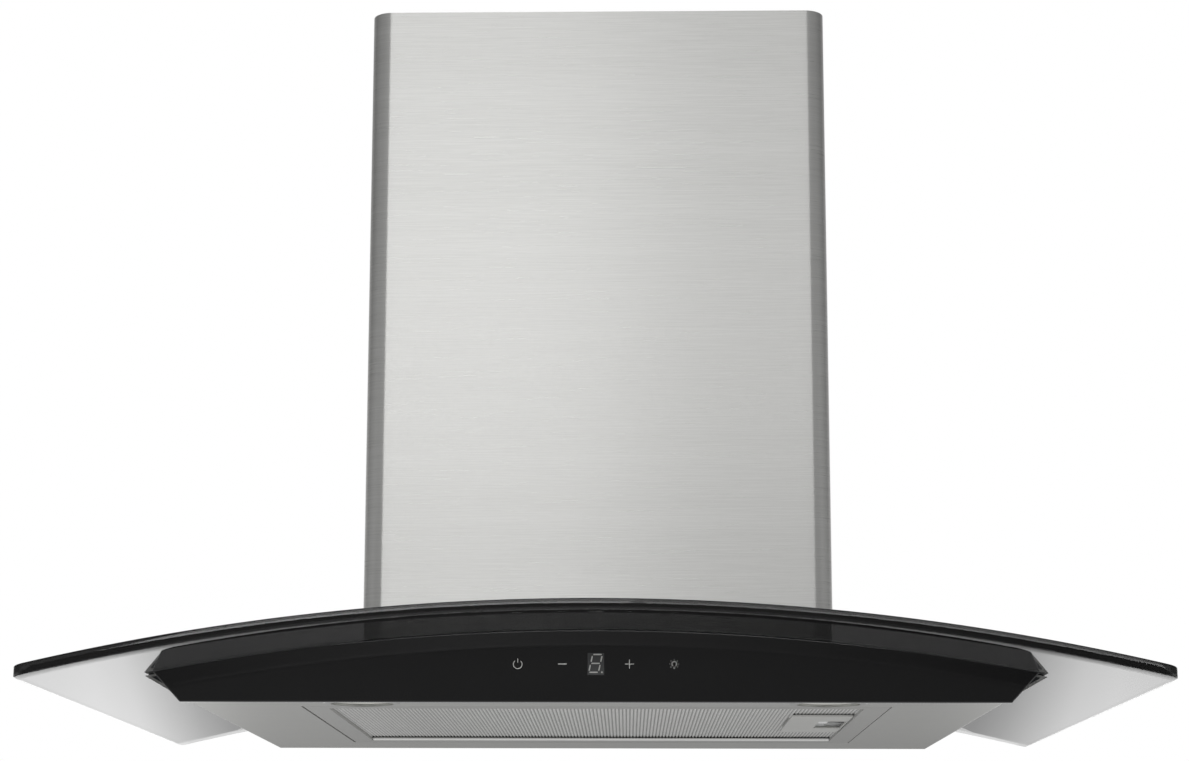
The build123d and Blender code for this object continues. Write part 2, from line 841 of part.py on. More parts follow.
def glass_clamps():
    """Stepped clips on the box's foot that reach over the edge of the glass."""
    clips = []
    for x, y in clamp_places():
        side = math.copysign(1, x)
        near = box_half + 1.0
        wall = notch_half - notch_gap + clamp_thick / 2
        far = notch_half + clamp_lap
        low_r = pan_r + box_sheet + clamp_fit
        top_r = glass_radius + rest_gap
        pieces = [(near, wall, low_r, low_r + clamp_thick),
                  (wall - clamp_thick, wall, low_r, top_r + clamp_thick),
                  (wall - clamp_thick, far, top_r, top_r + clamp_thick)]
        clip = None
        for x0, x1, r0, r1 in pieces:
            plan = plan_rect(*sorted((side * x0, side * x1)), y - clamp_length / 2, y + clamp_length / 2)
            leaf = arch_plate(plan, r1, r0)
            clip = leaf if clip is None else clip + leaf
        clips.append(clip - rod(x, y, 0, crown_z, screw_r + screw_fit))
    return group(clips)


def clamp_screws():
    """Screws through clamp, foot and body."""
    top = pan_r + box_sheet + clamp_fit + clamp_thick
    screws = []
    for x, y in clamp_places():
        seat_z = arch_height(top, abs(x) - screw_head_r) + screw_fit
        screws.append(Pos(x, y, seat_z) * screw())
    return group(screws)


def hanger_bracket():
    """Folded plate on the back of the box with two keyholes that hang on wall screws."""
    half = hanger_width / 2
    wall_y = -hanger_thick / 2
    box_y = box_back_y + hanger_thick / 2
    points = [(-half, box_y), (-half + hanger_foot, box_y), (-half + hanger_foot, wall_y),
              (half - hanger_foot, wall_y), (half - hanger_foot, box_y), (half, box_y)]
    low = box_height - hanger_below_top - hanger_height
    plate = Pos(0, 0, low) * extrude(bent_strip(points, hanger_thick, bracket_bend), amount=hanger_height)
    for side in (-1, 1):
        x = side * keyhole_x
        head_z = low + hanger_height / 2 - keyhole_rise / 2
        plate -= rod_y(x, head_z, -2 * hanger_thick, hanger_thick, keyhole_head_r)
        plate -= rod_y(x, head_z + keyhole_rise, -2 * hanger_thick, hanger_thick, keyhole_shank_r)
        plate -= block(x - keyhole_shank_r, x + keyhole_shank_r, -2 * hanger_thick, hanger_thick,
                       head_z, head_z + keyhole_rise)
    return plate


# ---------------------------------------------------------------- fan
def scroll_outline():
    """Air space of the scroll in front view: four-centre spiral and leaning outlet neck."""
    half = scroll_step / 2
    first_r = scroll_inner_r - scroll_step
    centres = [(-half, half), (-half, -half), (half, -half), (half, half)]
    starts = [scroll_tongue_angle, 90, 180, 270]
    ends = [90, 180, 270, 360]
    arcs = []
    for index, (cx, cz) in enumerate(centres):
        radius = first_r + index * scroll_step
        sweep = ends[index] - starts[index]
        arcs.append(CenterArc((wheel_x + cx, wheel_z + cz), radius, starts[index], sweep))
    tongue = arcs[0] @ 0
    right = arcs[-1] @ 1
    top = box_height - box_sheet
    shoulder = (right.X, wheel_z + scroll_shoulder)
    neck = Polyline((right.X, right.Y), shoulder, (neck_half, top), (-neck_half, top), (tongue.X, tongue.Y))
    return make_face(Curve() + arcs + neck)


def scroll_half_shell(facing):
    """One moulded half of the scroll: side plate with inlet, and its half of the spiral wall."""
    space = scroll_outline()
    shell = offset(space, scroll_wall, kind=Kind.INTERSECTION)
    face_y = facing * (scroll_half + scroll_wall)
    rim = sorted((box_mid_y, box_mid_y + face_y))
    cavity = sorted((box_mid_y, box_mid_y + facing * scroll_half))
    body = front_prism(shell, *rim) - front_prism(space, *cavity)
    body -= block(-box_half, box_half, box_front_y, box_back_y, box_height - box_sheet, 2 * box_height)
    plate = sorted((box_mid_y + facing * (scroll_half - inlet_rim_height), box_mid_y + face_y))
    body += rod_y(wheel_x, wheel_z, *plate, inlet_r + inlet_rim)
    body -= rod_y(wheel_x, wheel_z, *plate, inlet_r)
    mouth = body.edges().filter_by(GeomType.CIRCLE).sort_by(lambda e: abs(e.radius - inlet_r))[:2]
    outside = sorted(mouth, key=lambda e: facing * e.center().Y)[-1:]
    body = fillet(outside, inlet_mouth)
    return body - bracket_screw_holes() if facing < 0 else body


def impeller():
    """Wheel with forward-curved blades between two end rings, on a centre disc and hub."""
    half = wheel_width / 2
    root = Vector(blade_inner_r, 0)
    tip = Vector(wheel_r - 1, 0).rotate(Axis.Z, blade_lean)
    middle = (root + tip) / 2 + Vector(0, -blade_bow)
    turn = math.degrees(blade_thick / wheel_r)
    front = ThreePointArc(root, middle, tip)
    back = Rot(0, 0, turn) * front
    blade = make_face(Curve() + [front, Line(front @ 1, back @ 1), back, Line(back @ 0, front @ 0)])
    blade = Pos(0, 0, -half) * extrude(blade, amount=wheel_width)
    wheel = Cylinder(wheel_r, disc_thick)
    for side in (-1, 1):
        z = side * (half - wheel_ring_thick / 2)
        ring = Cylinder(wheel_r, wheel_ring_thick) - Cylinder(wheel_r - wheel_ring, wheel_ring_thick)
        wheel += Pos(0, 0, z) * ring
    wheel += [Rot(0, 0, index * 360 / blade_count) * blade for index in range(blade_count)]
    wheel += Pos(0, 0, -hub_length / 2 + disc_thick) * Cylinder(hub_r, hub_length)
    wheel -= Cylinder(shaft_r + shaft_fit / 2, 2 * wheel_width)
    return Pos(wheel_x, box_mid_y, wheel_z) * Rot(90, 0, 0) * wheel


def motor_back_y():
    """Face of the motor that looks at the wheel's disc."""
    return box_mid_y - disc_thick / 2 - motor_disc_gap


def motor_shaft():
    """Shaft through motor and hub."""
    front = scroll_face_y - bracket_thick - motor_nose_length / 2
    back = box_mid_y + hub_length - disc_thick
    return rod_y(wheel_x, wheel_z, front, back, shaft_r)


def motor():
    """Ribbed motor can inside the wheel, with a nose through the bracket."""
    body = rod_y(wheel_x, wheel_z, scroll_face_y, motor_back_y(), motor_r)
    for index in range(motor_rib_count):
        rib = block(motor_r - motor_rib_root, motor_r + motor_rib, scroll_face_y,
                    motor_back_y() - motor_rib_short, -motor_rib_width / 2, motor_rib_width / 2)
        body += Pos(wheel_x, 0, wheel_z) * Rot(0, index * 360 / motor_rib_count, 0) * rib
    nose_y = scroll_face_y - motor_nose_length
    body += rod_y(wheel_x, wheel_z, nose_y, scroll_face_y, motor_nose_r)
    bore_front = scroll_face_y - bracket_thick - motor_nose_length / 2 - rest_gap
    return body - rod_y(wheel_x, wheel_z, bore_front, motor_back_y(), shaft_r + shaft_fit)


def bracket_turns():
    """Directions of the bracket's arms in front view, the first one upright."""
    return [90 + index * 360 / bracket_arm_count for index in range(bracket_arm_count)]


def motor_bracket():
    """Three-armed plate that carries the motor in the front inlet."""
    front = scroll_face_y - bracket_thick
    plate = rod_y(0, 0, front, scroll_face_y, bracket_ring_r)
    for turn in bracket_turns():
        arm = block(0, bracket_reach, front, scroll_face_y, -bracket_arm_width / 2, bracket_arm_width / 2)
        plate += Rot(0, -turn, 0) * arm
    plate -= rod_y(0, 0, front, scroll_face_y, motor_nose_r + bracket_fit)
    plate = Pos(wheel_x, 0, wheel_z) * plate
    return plate - bracket_screw_holes()


def bracket_screw_places():
    """Front-view position of the screw near the end of each arm."""
    reach = bracket_reach - bracket_screw_inset
    turns = [math.radians(turn) for turn in bracket_turns()]
    return [(wheel_x + reach * math.cos(turn), wheel_z + reach * math.sin(turn)) for turn in turns]


def bracket_screw_holes():
    back = scroll_face_y + scroll_wall
    return [rod_y(x, z, scroll_face_y - bracket_thick, back, screw_r + screw_fit)
            for x, z in bracket_screw_places()]


def bracket_screws():
    """Screws that hold the motor bracket on the front half of the scroll."""
    seat_y = scroll_face_y - bracket_thick
    return group([Pos(x, seat_y, z) * Rot(90, 0, 0) * screw(bracket_thick + scroll_wall)
                  for x, z in bracket_screw_places()])


# ---------------------------------------------------------------- outlet collar and damper
def collar_screw_places():
    reach = (collar_r + collar_base_r) / 2 / math.sqrt(2)
    return [(x * reach, box_mid_y + y * reach) for x in (-1, 1) for y in (-1, 1)]


def outlet_collar():
    """150 mm duct collar with base ring, flap seat and blind holes for the damper axle."""
    collar = rod(0, box_mid_y, box_height, box_height + collar_height, collar_r)
    collar += rod(0, box_mid_y, box_height, box_height + collar_base_thick, collar_base_r)
    collar -= rod(0, box_mid_y, box_height, box_height + collar_height, collar_inner_r)
    lip_top = axle_z - flap_thick / 2 - rest_gap
    lip = rod(0, box_mid_y, lip_top - lip_thick, lip_top, collar_inner_r + collar_wall / 2)
    lip -= rod(0, box_mid_y, lip_top - lip_thick, lip_top, collar_inner_r - lip_width)
    relief = axle_r + axle_fit
    lip -= block(-relief, relief, box_mid_y - collar_inner_r, box_mid_y + collar_inner_r, 0, 2 * box_height)
    collar += lip
    hole = axle_reach() + axle_fit
    collar -= rod_y(0, axle_z, box_mid_y - hole, box_mid_y + hole, axle_r + axle_fit / 2)
    for x, y in collar_screw_places():
        collar -= rod(x, y, box_height, box_height + collar_base_thick, screw_r + screw_fit)
    return collar


def axle_reach():
    """Half length of the damper axle: it ends inside the collar's wall."""
    return collar_r - collar_wall * 0.3


def damper_axle():
    return rod_y(0, axle_z, box_mid_y - axle_reach(), box_mid_y + axle_reach(), axle_r)


def damper_flap(side):
    """Half-round flap with knuckles that turn on the axle; the two flaps' knuckles alternate."""
    flap_r = collar_inner_r - flap_edge_gap
    plate = rod(0, box_mid_y, axle_z - flap_thick / 2, axle_z + flap_thick / 2, flap_r)
    plate &= block(*sorted((side * flap_root, side * flap_r)), box_mid_y - flap_r, box_mid_y + flap_r,
                   0, 2 * axle_z)
    for index in range(knuckle_count):
        if (index % 2 == 0) == (side > 0):
            y = box_mid_y + (index - (knuckle_count - 1) / 2) * knuckle_pitch
            low, high = y - knuckle_length / 2, y + knuckle_length / 2
            plate += rod_y(0, axle_z, low, high, knuckle_r)
            plate += block(*sorted((0, side * (flap_root + 1))), low, high,
                           axle_z - flap_thick / 2, axle_z + flap_thick / 2)
            plate -= rod_y(0, axle_z, low, high, axle_r + axle_fit)
    return plate


def collar_screws():
    top = box_height + collar_base_thick
    return group([Pos(x, y, top) * screw() for x, y in collar_screw_places()])


# ---------------------------------------------------------------- electrics
def terminal_corner():
    """Left front corner of the connection box on the blower box."""
    return (-box_half + terminal_margin, box_front_y + terminal_margin)


def terminal_box():
    """Open plastic base of the connection box."""
    x, y = terminal_corner()
    base = block(x, x + terminal_width, y, y + terminal_depth, box_height, box_height + terminal_height)
    base -= block(x + terminal_wall, x + terminal_width - terminal_wall, y + terminal_wall,
                  y + terminal_depth - terminal_wall, box_height + terminal_wall, 2 * box_height)
    return base


def terminal_cover():
    """Clip-on cover with the hole for the cable gland."""
    x, y = terminal_corner()
    z = box_height + terminal_height
    top = z + terminal_cover_height
    cover = block(x, x + terminal_width, y, y + terminal_depth, z, top)
    cover = fillet(cover.edges().filter_by(Axis.Z), terminal_corner_r)
    cover -= block(x + terminal_wall, x + terminal_width - terminal_wall, y + terminal_wall,
                   y + terminal_depth - terminal_wall, z, top - terminal_wall)
    gx, gy = gland_place()
    return cover - rod(gx, gy, z, top, gland_neck_r + screw_fit)


def gland_place():
    x, y = terminal_corner()
    return (x + terminal_width - gland_hex_r - gland_gap, y + terminal_depth / 2)


def terminal_block():
    """Four-way terminal strip on the floor of the connection box."""
    x, y = terminal_corner()
    z = box_height + terminal_wall
    left = x + strip_inset_x
    top = z + strip_height
    strip = block(left, left + strip_width, y + strip_inset_y, y + terminal_depth - strip_inset_y, z, top)
    for index in range(strip_ways):
        hole_y = y + terminal_depth / 2 + (index - (strip_ways - 1) / 2) * strip_pitch
        strip -= rod(left + strip_width / 2, hole_y, top - strip_hole_depth, top, strip_hole_r)
    return strip


def cable_gland():
    """Hexagon and clamping dome of the mains cable gland, neck through the cover."""
    gx, gy = gland_place()
    top = box_height + terminal_height + terminal_cover_height
    neck = rod(gx, gy, top - gland_neck_length, top, gland_neck_r)
    hexagon = Pos(gx, gy, top) * extrude(RegularPolygon(gland_hex_r, 6), amount=gland_hex_height)
    dome = rod(gx, gy, top + gland_hex_height, top + gland_height, gland_r)
    dome = fillet(dome.faces().sort_by(Axis.Z)[-1].edges(), gland_dome)
    return neck + hexagon + dome - rod(gx, gy, box_height, 2 * box_height, cable_r)


def capacitor():
    """Run capacitor of the fan motor, standing on the right front corner."""
    x = box_half - capacitor_margin - capacitor_r
    y = box_front_y + capacitor_margin + capacitor_r
    can = rod(x, y, box_height, box_height + capacitor_height, capacitor_r)
    can = fillet(can.faces().sort_by(Axis.Z)[-1].edges(), capacitor_rim)
    top = box_height + capacitor_height
    half = blade_terminal_width / 2
    for side in (-1, 1):
        middle = y + side * blade_terminal_pitch / 2
        can += block(x - half, x + half, middle - blade_terminal_thick / 2, middle + blade_terminal_thick / 2,
                     top - capacitor_rim, top + blade_terminal_height)
    return can


# ---------------------------------------------------------------- chimney
def cover_outline(inset, sheet, ret):
    """Plan of a U-shaped cover with folded wall flanges."""
    half = chimney_half - inset
    front = -chimney_depth + inset
    corner = chimney_corner - inset
    outer = plan_rect(-half, half, front, -inset)
    outer = fillet(outer.vertices().sort_by(Axis.Y)[:2], corner)
    inner = plan_rect(-half + sheet, half - sheet, front + sheet, -inset - sheet)
    inner = fillet(inner.vertices().sort_by(Axis.Y)[:2], corner - sheet)
    slot = plan_rect(-half + ret, half - ret, -inset - 2 * sheet, 0)
    return outer - inner - slot


def lower_chimney():
    """Outer cover standing on the glass, its foot cut to the arch."""
    cover = extrude(cover_outline(0, chimney_sheet, chimney_return), amount=chimney_top_z)
    return cover - barrel(glass_radius + chimney_gap)


def stay_top_z():
    """Top of the side stays: the upper cover stands on them when pushed right down."""
    return chimney_top_z - upper_top_gap - upper_length - rest_gap


def chimney_stays():
    """Folded stays between box and cover; the upper cover comes down on them."""
    near = box_half + stay_thick / 2
    far = chimney_half - chimney_sheet - stay_thick / 2
    top = stay_top_z() - stay_thick / 2
    points = [(near, top - stay_height), (near, top), (far, top), (far, top - stay_height)]
    back = box_mid_y + stay_length / 2
    stay = front_prism(bent_strip(points, stay_thick, stay_bend), back - stay_length, back)
    return both_sides(stay)


def upper_chimney():
    """Telescopic cover inside the lower one, with vent slots near the top."""
    inset = chimney_sheet + upper_gap
    top = chimney_top_z - upper_top_gap
    cover = Pos(0, 0, top - upper_length) * extrude(cover_outline(inset, upper_sheet, chimney_return),
                                                    amount=upper_length)
    half = chimney_half
    for index in range(vent_count):
        z = top - vent_top - index * vent_pitch
        cover -= block(-half, half, vent_y - vent_length / 2, vent_y + vent_length / 2, z - vent_height, z)
    return cover - upper_screw_holes()


def upper_screw_place():
    """Side, depth and height of the screws that join the cover to its wall bracket."""
    ear_inside = chimney_half - chimney_sheet - upper_gap - upper_sheet - upper_bracket_thick
    y = -upper_bracket_wing - upper_bracket_ear / 2
    return ear_inside, y, upper_bracket_low_z() + upper_bracket_height / 2


def upper_screw_holes():
    _, y, z = upper_screw_place()
    cutter = Cylinder(screw_r + screw_fit, chimney_width)
    return Pos(0, y, z) * Rot(0, 90, 0) * cutter


def upper_screws():
    """Two screws, heads inside, through the bracket's ears into the upper cover."""
    x, y, z = upper_screw_place()
    length = upper_bracket_thick + upper_sheet
    return group([Pos(side * x, y, z) * Rot(0, -side * 90, 0) * screw(length) for side in (-1, 1)])


def upper_bracket():
    """Wall bracket that the upper cover is screwed to: wall strip, wings and ears."""
    t = upper_bracket_thick
    ear_x = chimney_half - chimney_sheet - upper_gap - upper_sheet - t / 2
    strip_x = chimney_half - chimney_sheet - upper_gap - chimney_return - rest_gap - t / 2
    points = [(-ear_x, -upper_bracket_wing - upper_bracket_ear), (-ear_x, -upper_bracket_wing),
              (-strip_x, -upper_bracket_wing), (-strip_x, -t / 2), (strip_x, -t / 2),
              (strip_x, -upper_bracket_wing), (ear_x, -upper_bracket_wing),
              (ear_x, -upper_bracket_wing - upper_bracket_ear)]
    low = upper_bracket_low_z()
    plate = Pos(0, 0, low) * extrude(bent_strip(points, t, bracket_bend), amount=upper_bracket_height)
    for side in (-1, 1):
        plate -= rod_y(side * upper_hole_x, low + upper_bracket_height / 2, -2 * t, t, upper_hole_r)
    return plate - upper_screw_holes()


def upper_bracket_low_z():
    below_vents = chimney_top_z - upper_top_gap - vent_top - vent_count * vent_pitch
    return below_vents - upper_bracket_drop - upper_bracket_height


# ---------------------------------------------------------------- write the pieces
pieces = {
    "hood_body": body_cover(),
    "canopy_glass": canopy_glass(),
    "glass_seal": glass_seal(),
    "filter_seat": filter_seat(),
    "filter_ledge": filter_ledge(),
    "control_panel_glass": control_panel_glass(),
    "panel_tape": panel_tape(),
    "control_tray": control_tray(),
    "control_board": control_board(),
    "board_components": board_components(),
    "touch_pads": touch_pads(),
    "digit_display": digit_display(),
    "left_lamp_bezel": lamp_bezel(-1),
    "right_lamp_bezel": lamp_bezel(1),
    "left_lamp_lens": lamp_lens(-1),
    "right_lamp_lens": lamp_lens(1),
    "left_lamp_can": lamp_can(-1),
    "right_lamp_can": lamp_can(1),
    "lamp_clips": lamp_clips(),
    "filter_frame": filter_frame(),
    "filter_mesh": filter_mesh(),
    "filter_core": filter_core(),
    "latch_housing": latch_housing(),
    "latch_slide": latch_slide(),
    "latch_springs": latch_springs(),
    "blower_box": blower_box(),
    "glass_clamps": glass_clamps(),
    "clamp_screws": clamp_screws(),
    "hanger_bracket": hanger_bracket(),
    "scroll_front": scroll_half_shell(-1),
    "scroll_back": scroll_half_shell(1),
    "impeller": impeller(),
    "motor_shaft": motor_shaft(),
    "motor": motor(),
    "motor_bracket": motor_bracket(),
    "bracket_screws": bracket_screws(),
    "outlet_collar": outlet_collar(),
    "collar_screws": collar_screws(),
    "damper_axle": damper_axle(),
    "left_flap": damper_flap(-1),
    "right_flap": damper_flap(1),
    "terminal_box": terminal_box(),
    "terminal_cover": terminal_cover(),
    "terminal_block": terminal_block(),
    "cable_gland": cable_gland(),
    "capacitor": capacitor(),
    "lower_chimney": lower_chimney(),
    "chimney_stays": chimney_stays(),
    "upper_chimney": upper_chimney(),
    "upper_bracket": upper_bracket(),
    "upper_screws": upper_screws(),
}

os.makedirs("parts", exist_ok=True)
for name, shape in pieces.items():
    export_step(shape, f"parts/{name}.step")
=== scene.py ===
# %% [markdown]
# # A curved glass wall hood
# The object is a 60 cm cooker hood: an arched sheet of smoked glass, a shallow folded steel
# body under it, a black glass touch panel on the front and a steel chimney above.  The CAD
# frame already holds every solid in its place, so this lesson spends its time on what CAD
# leaves out: finishes, fine edges, printed symbols, light and the camera.

# %% Load the CAD frame
import json
import math

import bmesh
import bpy
from mathutils import Matrix, Vector


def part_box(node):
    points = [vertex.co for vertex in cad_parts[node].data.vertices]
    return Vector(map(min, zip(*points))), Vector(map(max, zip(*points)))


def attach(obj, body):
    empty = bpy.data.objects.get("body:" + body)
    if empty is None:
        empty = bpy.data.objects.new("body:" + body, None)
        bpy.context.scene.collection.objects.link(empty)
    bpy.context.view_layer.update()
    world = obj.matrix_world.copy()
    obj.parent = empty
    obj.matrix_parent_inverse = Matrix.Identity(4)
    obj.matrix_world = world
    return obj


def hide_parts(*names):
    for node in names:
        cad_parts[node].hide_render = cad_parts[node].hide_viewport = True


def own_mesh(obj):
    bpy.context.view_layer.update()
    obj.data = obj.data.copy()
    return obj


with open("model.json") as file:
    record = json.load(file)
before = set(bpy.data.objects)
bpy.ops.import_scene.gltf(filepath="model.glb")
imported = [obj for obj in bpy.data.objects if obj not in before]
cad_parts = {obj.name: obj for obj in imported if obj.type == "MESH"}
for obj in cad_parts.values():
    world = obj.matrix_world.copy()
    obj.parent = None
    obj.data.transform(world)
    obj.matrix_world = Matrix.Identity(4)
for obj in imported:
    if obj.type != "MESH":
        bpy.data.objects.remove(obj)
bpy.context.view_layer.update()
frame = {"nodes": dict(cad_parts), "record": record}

# %% [markdown]
# ## The camera
# The photograph was taken from below the hood and almost straight in front of it.  The
# camera's place was worked out beforehand by matching known corners of the hood with the
# picture.  A long lens keeps the glass from flaring towards the edges, and the small shift
# says that the picture's centre lies above the lens axis.

# %% Camera
PHOTO_WIDTH = 1189
PHOTO_HEIGHT = 761
SENSOR_MM = 36.0
focal_px = 2478.24
axis_px = (560.0, 456.0)
camera_place = (0.01788, -1.77025, -0.12298)
camera_yaw, camera_pitch, camera_roll = 1.56, 10.70, -0.22

camera_data = bpy.data.cameras.new("photo_camera")
camera_data.sensor_width = SENSOR_MM
camera_data.lens = focal_px * SENSOR_MM / PHOTO_WIDTH
camera_data.shift_x = (PHOTO_WIDTH / 2 - axis_px[0]) / PHOTO_WIDTH
camera_data.shift_y = (axis_px[1] - PHOTO_HEIGHT / 2) / PHOTO_WIDTH
camera = bpy.data.objects.new("photo_camera", camera_data)
turn = Matrix.Rotation(math.radians(camera_yaw), 4, "Z") @ Matrix.Rotation(math.radians(camera_pitch), 4, "X")
turn = turn @ Matrix.Rotation(math.radians(camera_roll), 4, "Y") @ Matrix.Rotation(math.radians(90), 4, "X")
camera.matrix_world = Matrix.Translation(camera_place) @ turn
bpy.context.scene.collection.objects.link(camera)
bpy.context.scene.camera = camera
print("lens", round(camera_data.lens, 1), "mm")

# %% [markdown]
# ## Small helpers for materials
# Colours are written as the hex values a paint program shows.  Blender mixes light in linear
# values, so one function turns one into the other.  A second function adds a shader node with
# its settings and links.  Nearly every finish lets one pattern change its tone, its gloss and
# its relief together, as wear and grain do, so a third function does that.  Texture scales
# come from real millimetres: a scale of 1000 / size gives one feature per size.

# %% Colour and node helpers
def linear(hex_colour):
    """Linear RGBA from an sRGB hex colour."""
    parts = [int(hex_colour[index:index + 2], 16) / 255 for index in (1, 3, 5)]
    return [part / 12.92 if part <= 0.04045 else ((part + 0.055) / 1.055) ** 2.4 for part in parts] + [1.0]


def add(tree, kind, inputs=None, **settings):
    """Add one node: settings are its own options, inputs are values or other nodes' outputs."""
    made = tree.nodes.new(kind)
    for name, value in settings.items():
        setattr(made, name, value)
    for socket, value in (inputs or {}).items():
        if isinstance(value, bpy.types.NodeSocket):
            tree.links.new(value, made.inputs[socket])
        else:
            made.inputs[socket].default_value = value
    return made


def new_material(name, **sockets):
    """A material with one Principled shader; sockets are its plain values, _ for a space."""
    material = bpy.data.materials.new(name)
    material.use_nodes = True
    shader = material.node_tree.nodes["Principled BSDF"]
    for socket, value in sockets.items():
        shader.inputs[socket.replace("_", " ")].default_value = value
    return material, material.node_tree, shader


def drive(tree, shader, pattern, tones=None, gloss=None, relief=None):
    """Let a pattern set tone (dark, bright), roughness (low, high) or relief (strength, metres)."""
    if tones:
        dark, bright = [linear(tone) for tone in tones]
        tone = add(tree, "ShaderNodeMixRGB", {"Fac": pattern, "Color1": dark, "Color2": bright})
        tree.links.new(tone.outputs["Color"], shader.inputs["Base Color"])
    if gloss:
        rough = add(tree, "ShaderNodeMapRange", {"Value": pattern, "To Min": gloss[0], "To Max": gloss[1]})
        tree.links.new(rough.outputs["Result"], shader.inputs["Roughness"])
    if relief:
        bump = add(tree, "ShaderNodeBump", {"Height": pattern, "Strength": relief[0], "Distance": relief[1]})
        tree.links.new(bump.outputs["Normal"], shader.inputs["Normal"])


def per_mm(size):
    """Texture scale at which one feature is this many millimetres."""
    return 1000.0 / size


print("a mid grey of #808080 is", round(linear("#808080")[0], 3), "in linear light")

# %% [markdown]
# ## Brushed stainless steel
# The chimney is 304 stainless sheet, brushed in one direction at the mill.  The brush leaves
# fine parallel scratches.  Each scratch is a tiny groove, so light spreads far across the
# grooves and hardly at all along them: that is why brushed steel shows tall soft bands.  An
# anisotropic shader with its tangent across the grain gives that, and noise stretched along
# the grain gives the visible streaks.  Real scratches are about 0.05 mm wide; they are drawn
# at 0.5 mm, the finest that shows at this distance, over the faint bands, twenty times wider,
# that each pass of the brush leaves.

# %% Brushed stainless steel
PASS_WIDTH = 20
PASS_SHARE = 0.12


def brushed_stainless(name, streak_mm, across, tones, roughness):
    """Brushed steel: streak_mm is a streak's size along x, y and z, across the way over the grooves."""
    material, tree, shader = new_material(name, Metallic=1.0, Anisotropic=0.9)
    place = add(tree, "ShaderNodeTexCoord").outputs["Object"]
    stretched = add(tree, "ShaderNodeMapping",
                    {"Vector": place, "Scale": [per_mm(size) for size in streak_mm]}).outputs["Vector"]
    grain = add(tree, "ShaderNodeTexNoise",
                {"Vector": stretched, "Scale": 1.0, "Detail": 4.0, "Roughness": 0.65}).outputs["Fac"]
    pass_mm = [size * PASS_WIDTH for size in streak_mm]
    wide = add(tree, "ShaderNodeMapping",
               {"Vector": place, "Scale": [per_mm(size) for size in pass_mm]}).outputs["Vector"]
    pass_mark = add(tree, "ShaderNodeTexNoise", {"Vector": wide, "Scale": 1.0, "Detail": 2.0}).outputs["Fac"]
    both = add(tree, "ShaderNodeMath",
               {0: pass_mark, 1: PASS_SHARE, 2: grain}, operation="MULTIPLY_ADD").outputs[0]
    shade = add(tree, "ShaderNodeMapRange",
                {"Value": both, "From Min": 0.36, "From Max": 0.76}).outputs["Result"]
    drive(tree, shader, shade, tones=tones)
    drive(tree, shader, grain, relief=(0.25, 0.00003))
    rough = add(tree, "ShaderNodeMapRange",
                {"Value": grain, "From Min": 0.3, "From Max": 0.7,
                 "To Min": roughness - 0.03, "To Max": roughness + 0.03}).outputs["Result"]
    tree.links.new(rough, shader.inputs["Roughness"])
    tangent = add(tree, "ShaderNodeCombineXYZ", dict(zip("XYZ", across))).outputs["Vector"]
    tree.links.new(tangent, shader.inputs["Tangent"])
    return material


chimney_steel = brushed_stainless("brushed_stainless_chimney", (35.0, 35.0, 0.5), (0.0, 0.0, 1.0),
                                  ("#B9B9B7", "#C9C9C7"), 0.30)
# The body's copy is darker than the chimney's: painted shade for its underside, which faces down. It is also
# rougher.
shaded_body_steel = brushed_stainless("brushed_stainless_body_painted_shade", (35.0, 0.5, 35.0), (0.0, 1.0, 0.0),
                               ("#A9A9A7", "#B7B7B5"), 0.42)
print("steel:", chimney_steel.name, shaded_body_steel.name)

# %% [markdown]
# ## Smoked toughened glass
# The canopy is 6 mm soda-lime glass, tinted grey in the melt, cut, ground along its edges and
# then toughened over a curved bed.  Its faces are fire-polished, so they mirror; the tint is
# inside the sheet.  A clear refractive shader with an absorbing volume does both: light that
# crosses 6 mm is dimmed to about a sixth, and light that runs along the sheet to the edge is
# gone, which is why the cut edge looks black.  Toughening leaves a very faint roller wave.

# %% Smoked toughened glass
def smoked_glass():
    """Grey tinted glass: polished faces, absorbing inside."""
    material, tree, shader = new_material("smoked_toughened_glass", Transmission_Weight=1.0, IOR=1.52,
                                          Base_Color=linear("#FFFFFF"))
    place = add(tree, "ShaderNodeTexCoord").outputs["Object"]
    film = add(tree, "ShaderNodeTexNoise",
               {"Vector": place, "Scale": per_mm(45.0), "Detail": 3.0}).outputs["Fac"]
    rough = add(tree, "ShaderNodeMapRange",
                {"Value": film, "From Min": 0.35, "From Max": 0.75,
                 "To Min": 0.0, "To Max": 0.012}).outputs["Result"]
    tree.links.new(rough, shader.inputs["Roughness"])
    wave = add(tree, "ShaderNodeTexNoise",
               {"Vector": place, "Scale": per_mm(220.0), "Detail": 0.0}).outputs["Fac"]
    drive(tree, shader, wave, relief=(0.1, 0.0004))
    tint = add(tree, "ShaderNodeVolumeAbsorption", {"Color": linear("#101214"), "Density": 300.0})
    tree.links.new(tint.outputs["Volume"], tree.nodes["Material Output"].inputs["Volume"])
    return material


glass_finish = smoked_glass()
print("canopy:", glass_finish.name)

# %% [markdown]
# ## Black back-printed glass
# The touch panel is clear glass with black ceramic ink fired on its back.  From the front the
# eye sees a black surface with a polished glass skin, so a nearly black dielectric with a very
# low roughness is enough; no light comes back from the ink.  Handling leaves a faint film that
# widens the highlights a little in patches.
#
# Many finishes are like that: even, with patches of one size.  One function makes them all.

# %% Patchy finishes
def patchy(name, patch_mm, detail, tones, gloss, relief=None, **sockets):
    """A finish whose tone, gloss and relief change together in patches of one size."""
    material, tree, shader = new_material(name, **sockets)
    place = add(tree, "ShaderNodeTexCoord").outputs["Object"]
    patch = add(tree, "ShaderNodeTexNoise",
                {"Vector": place, "Scale": per_mm(patch_mm), "Detail": detail}).outputs["Fac"]
    drive(tree, shader, patch, tones, gloss, relief)
    return material


panel_finish = patchy("black_printed_glass", 30.0, 4.0, ("#060607", "#0A0A0B"), (0.03, 0.09), IOR=1.52)
print("panel:", panel_finish.name)

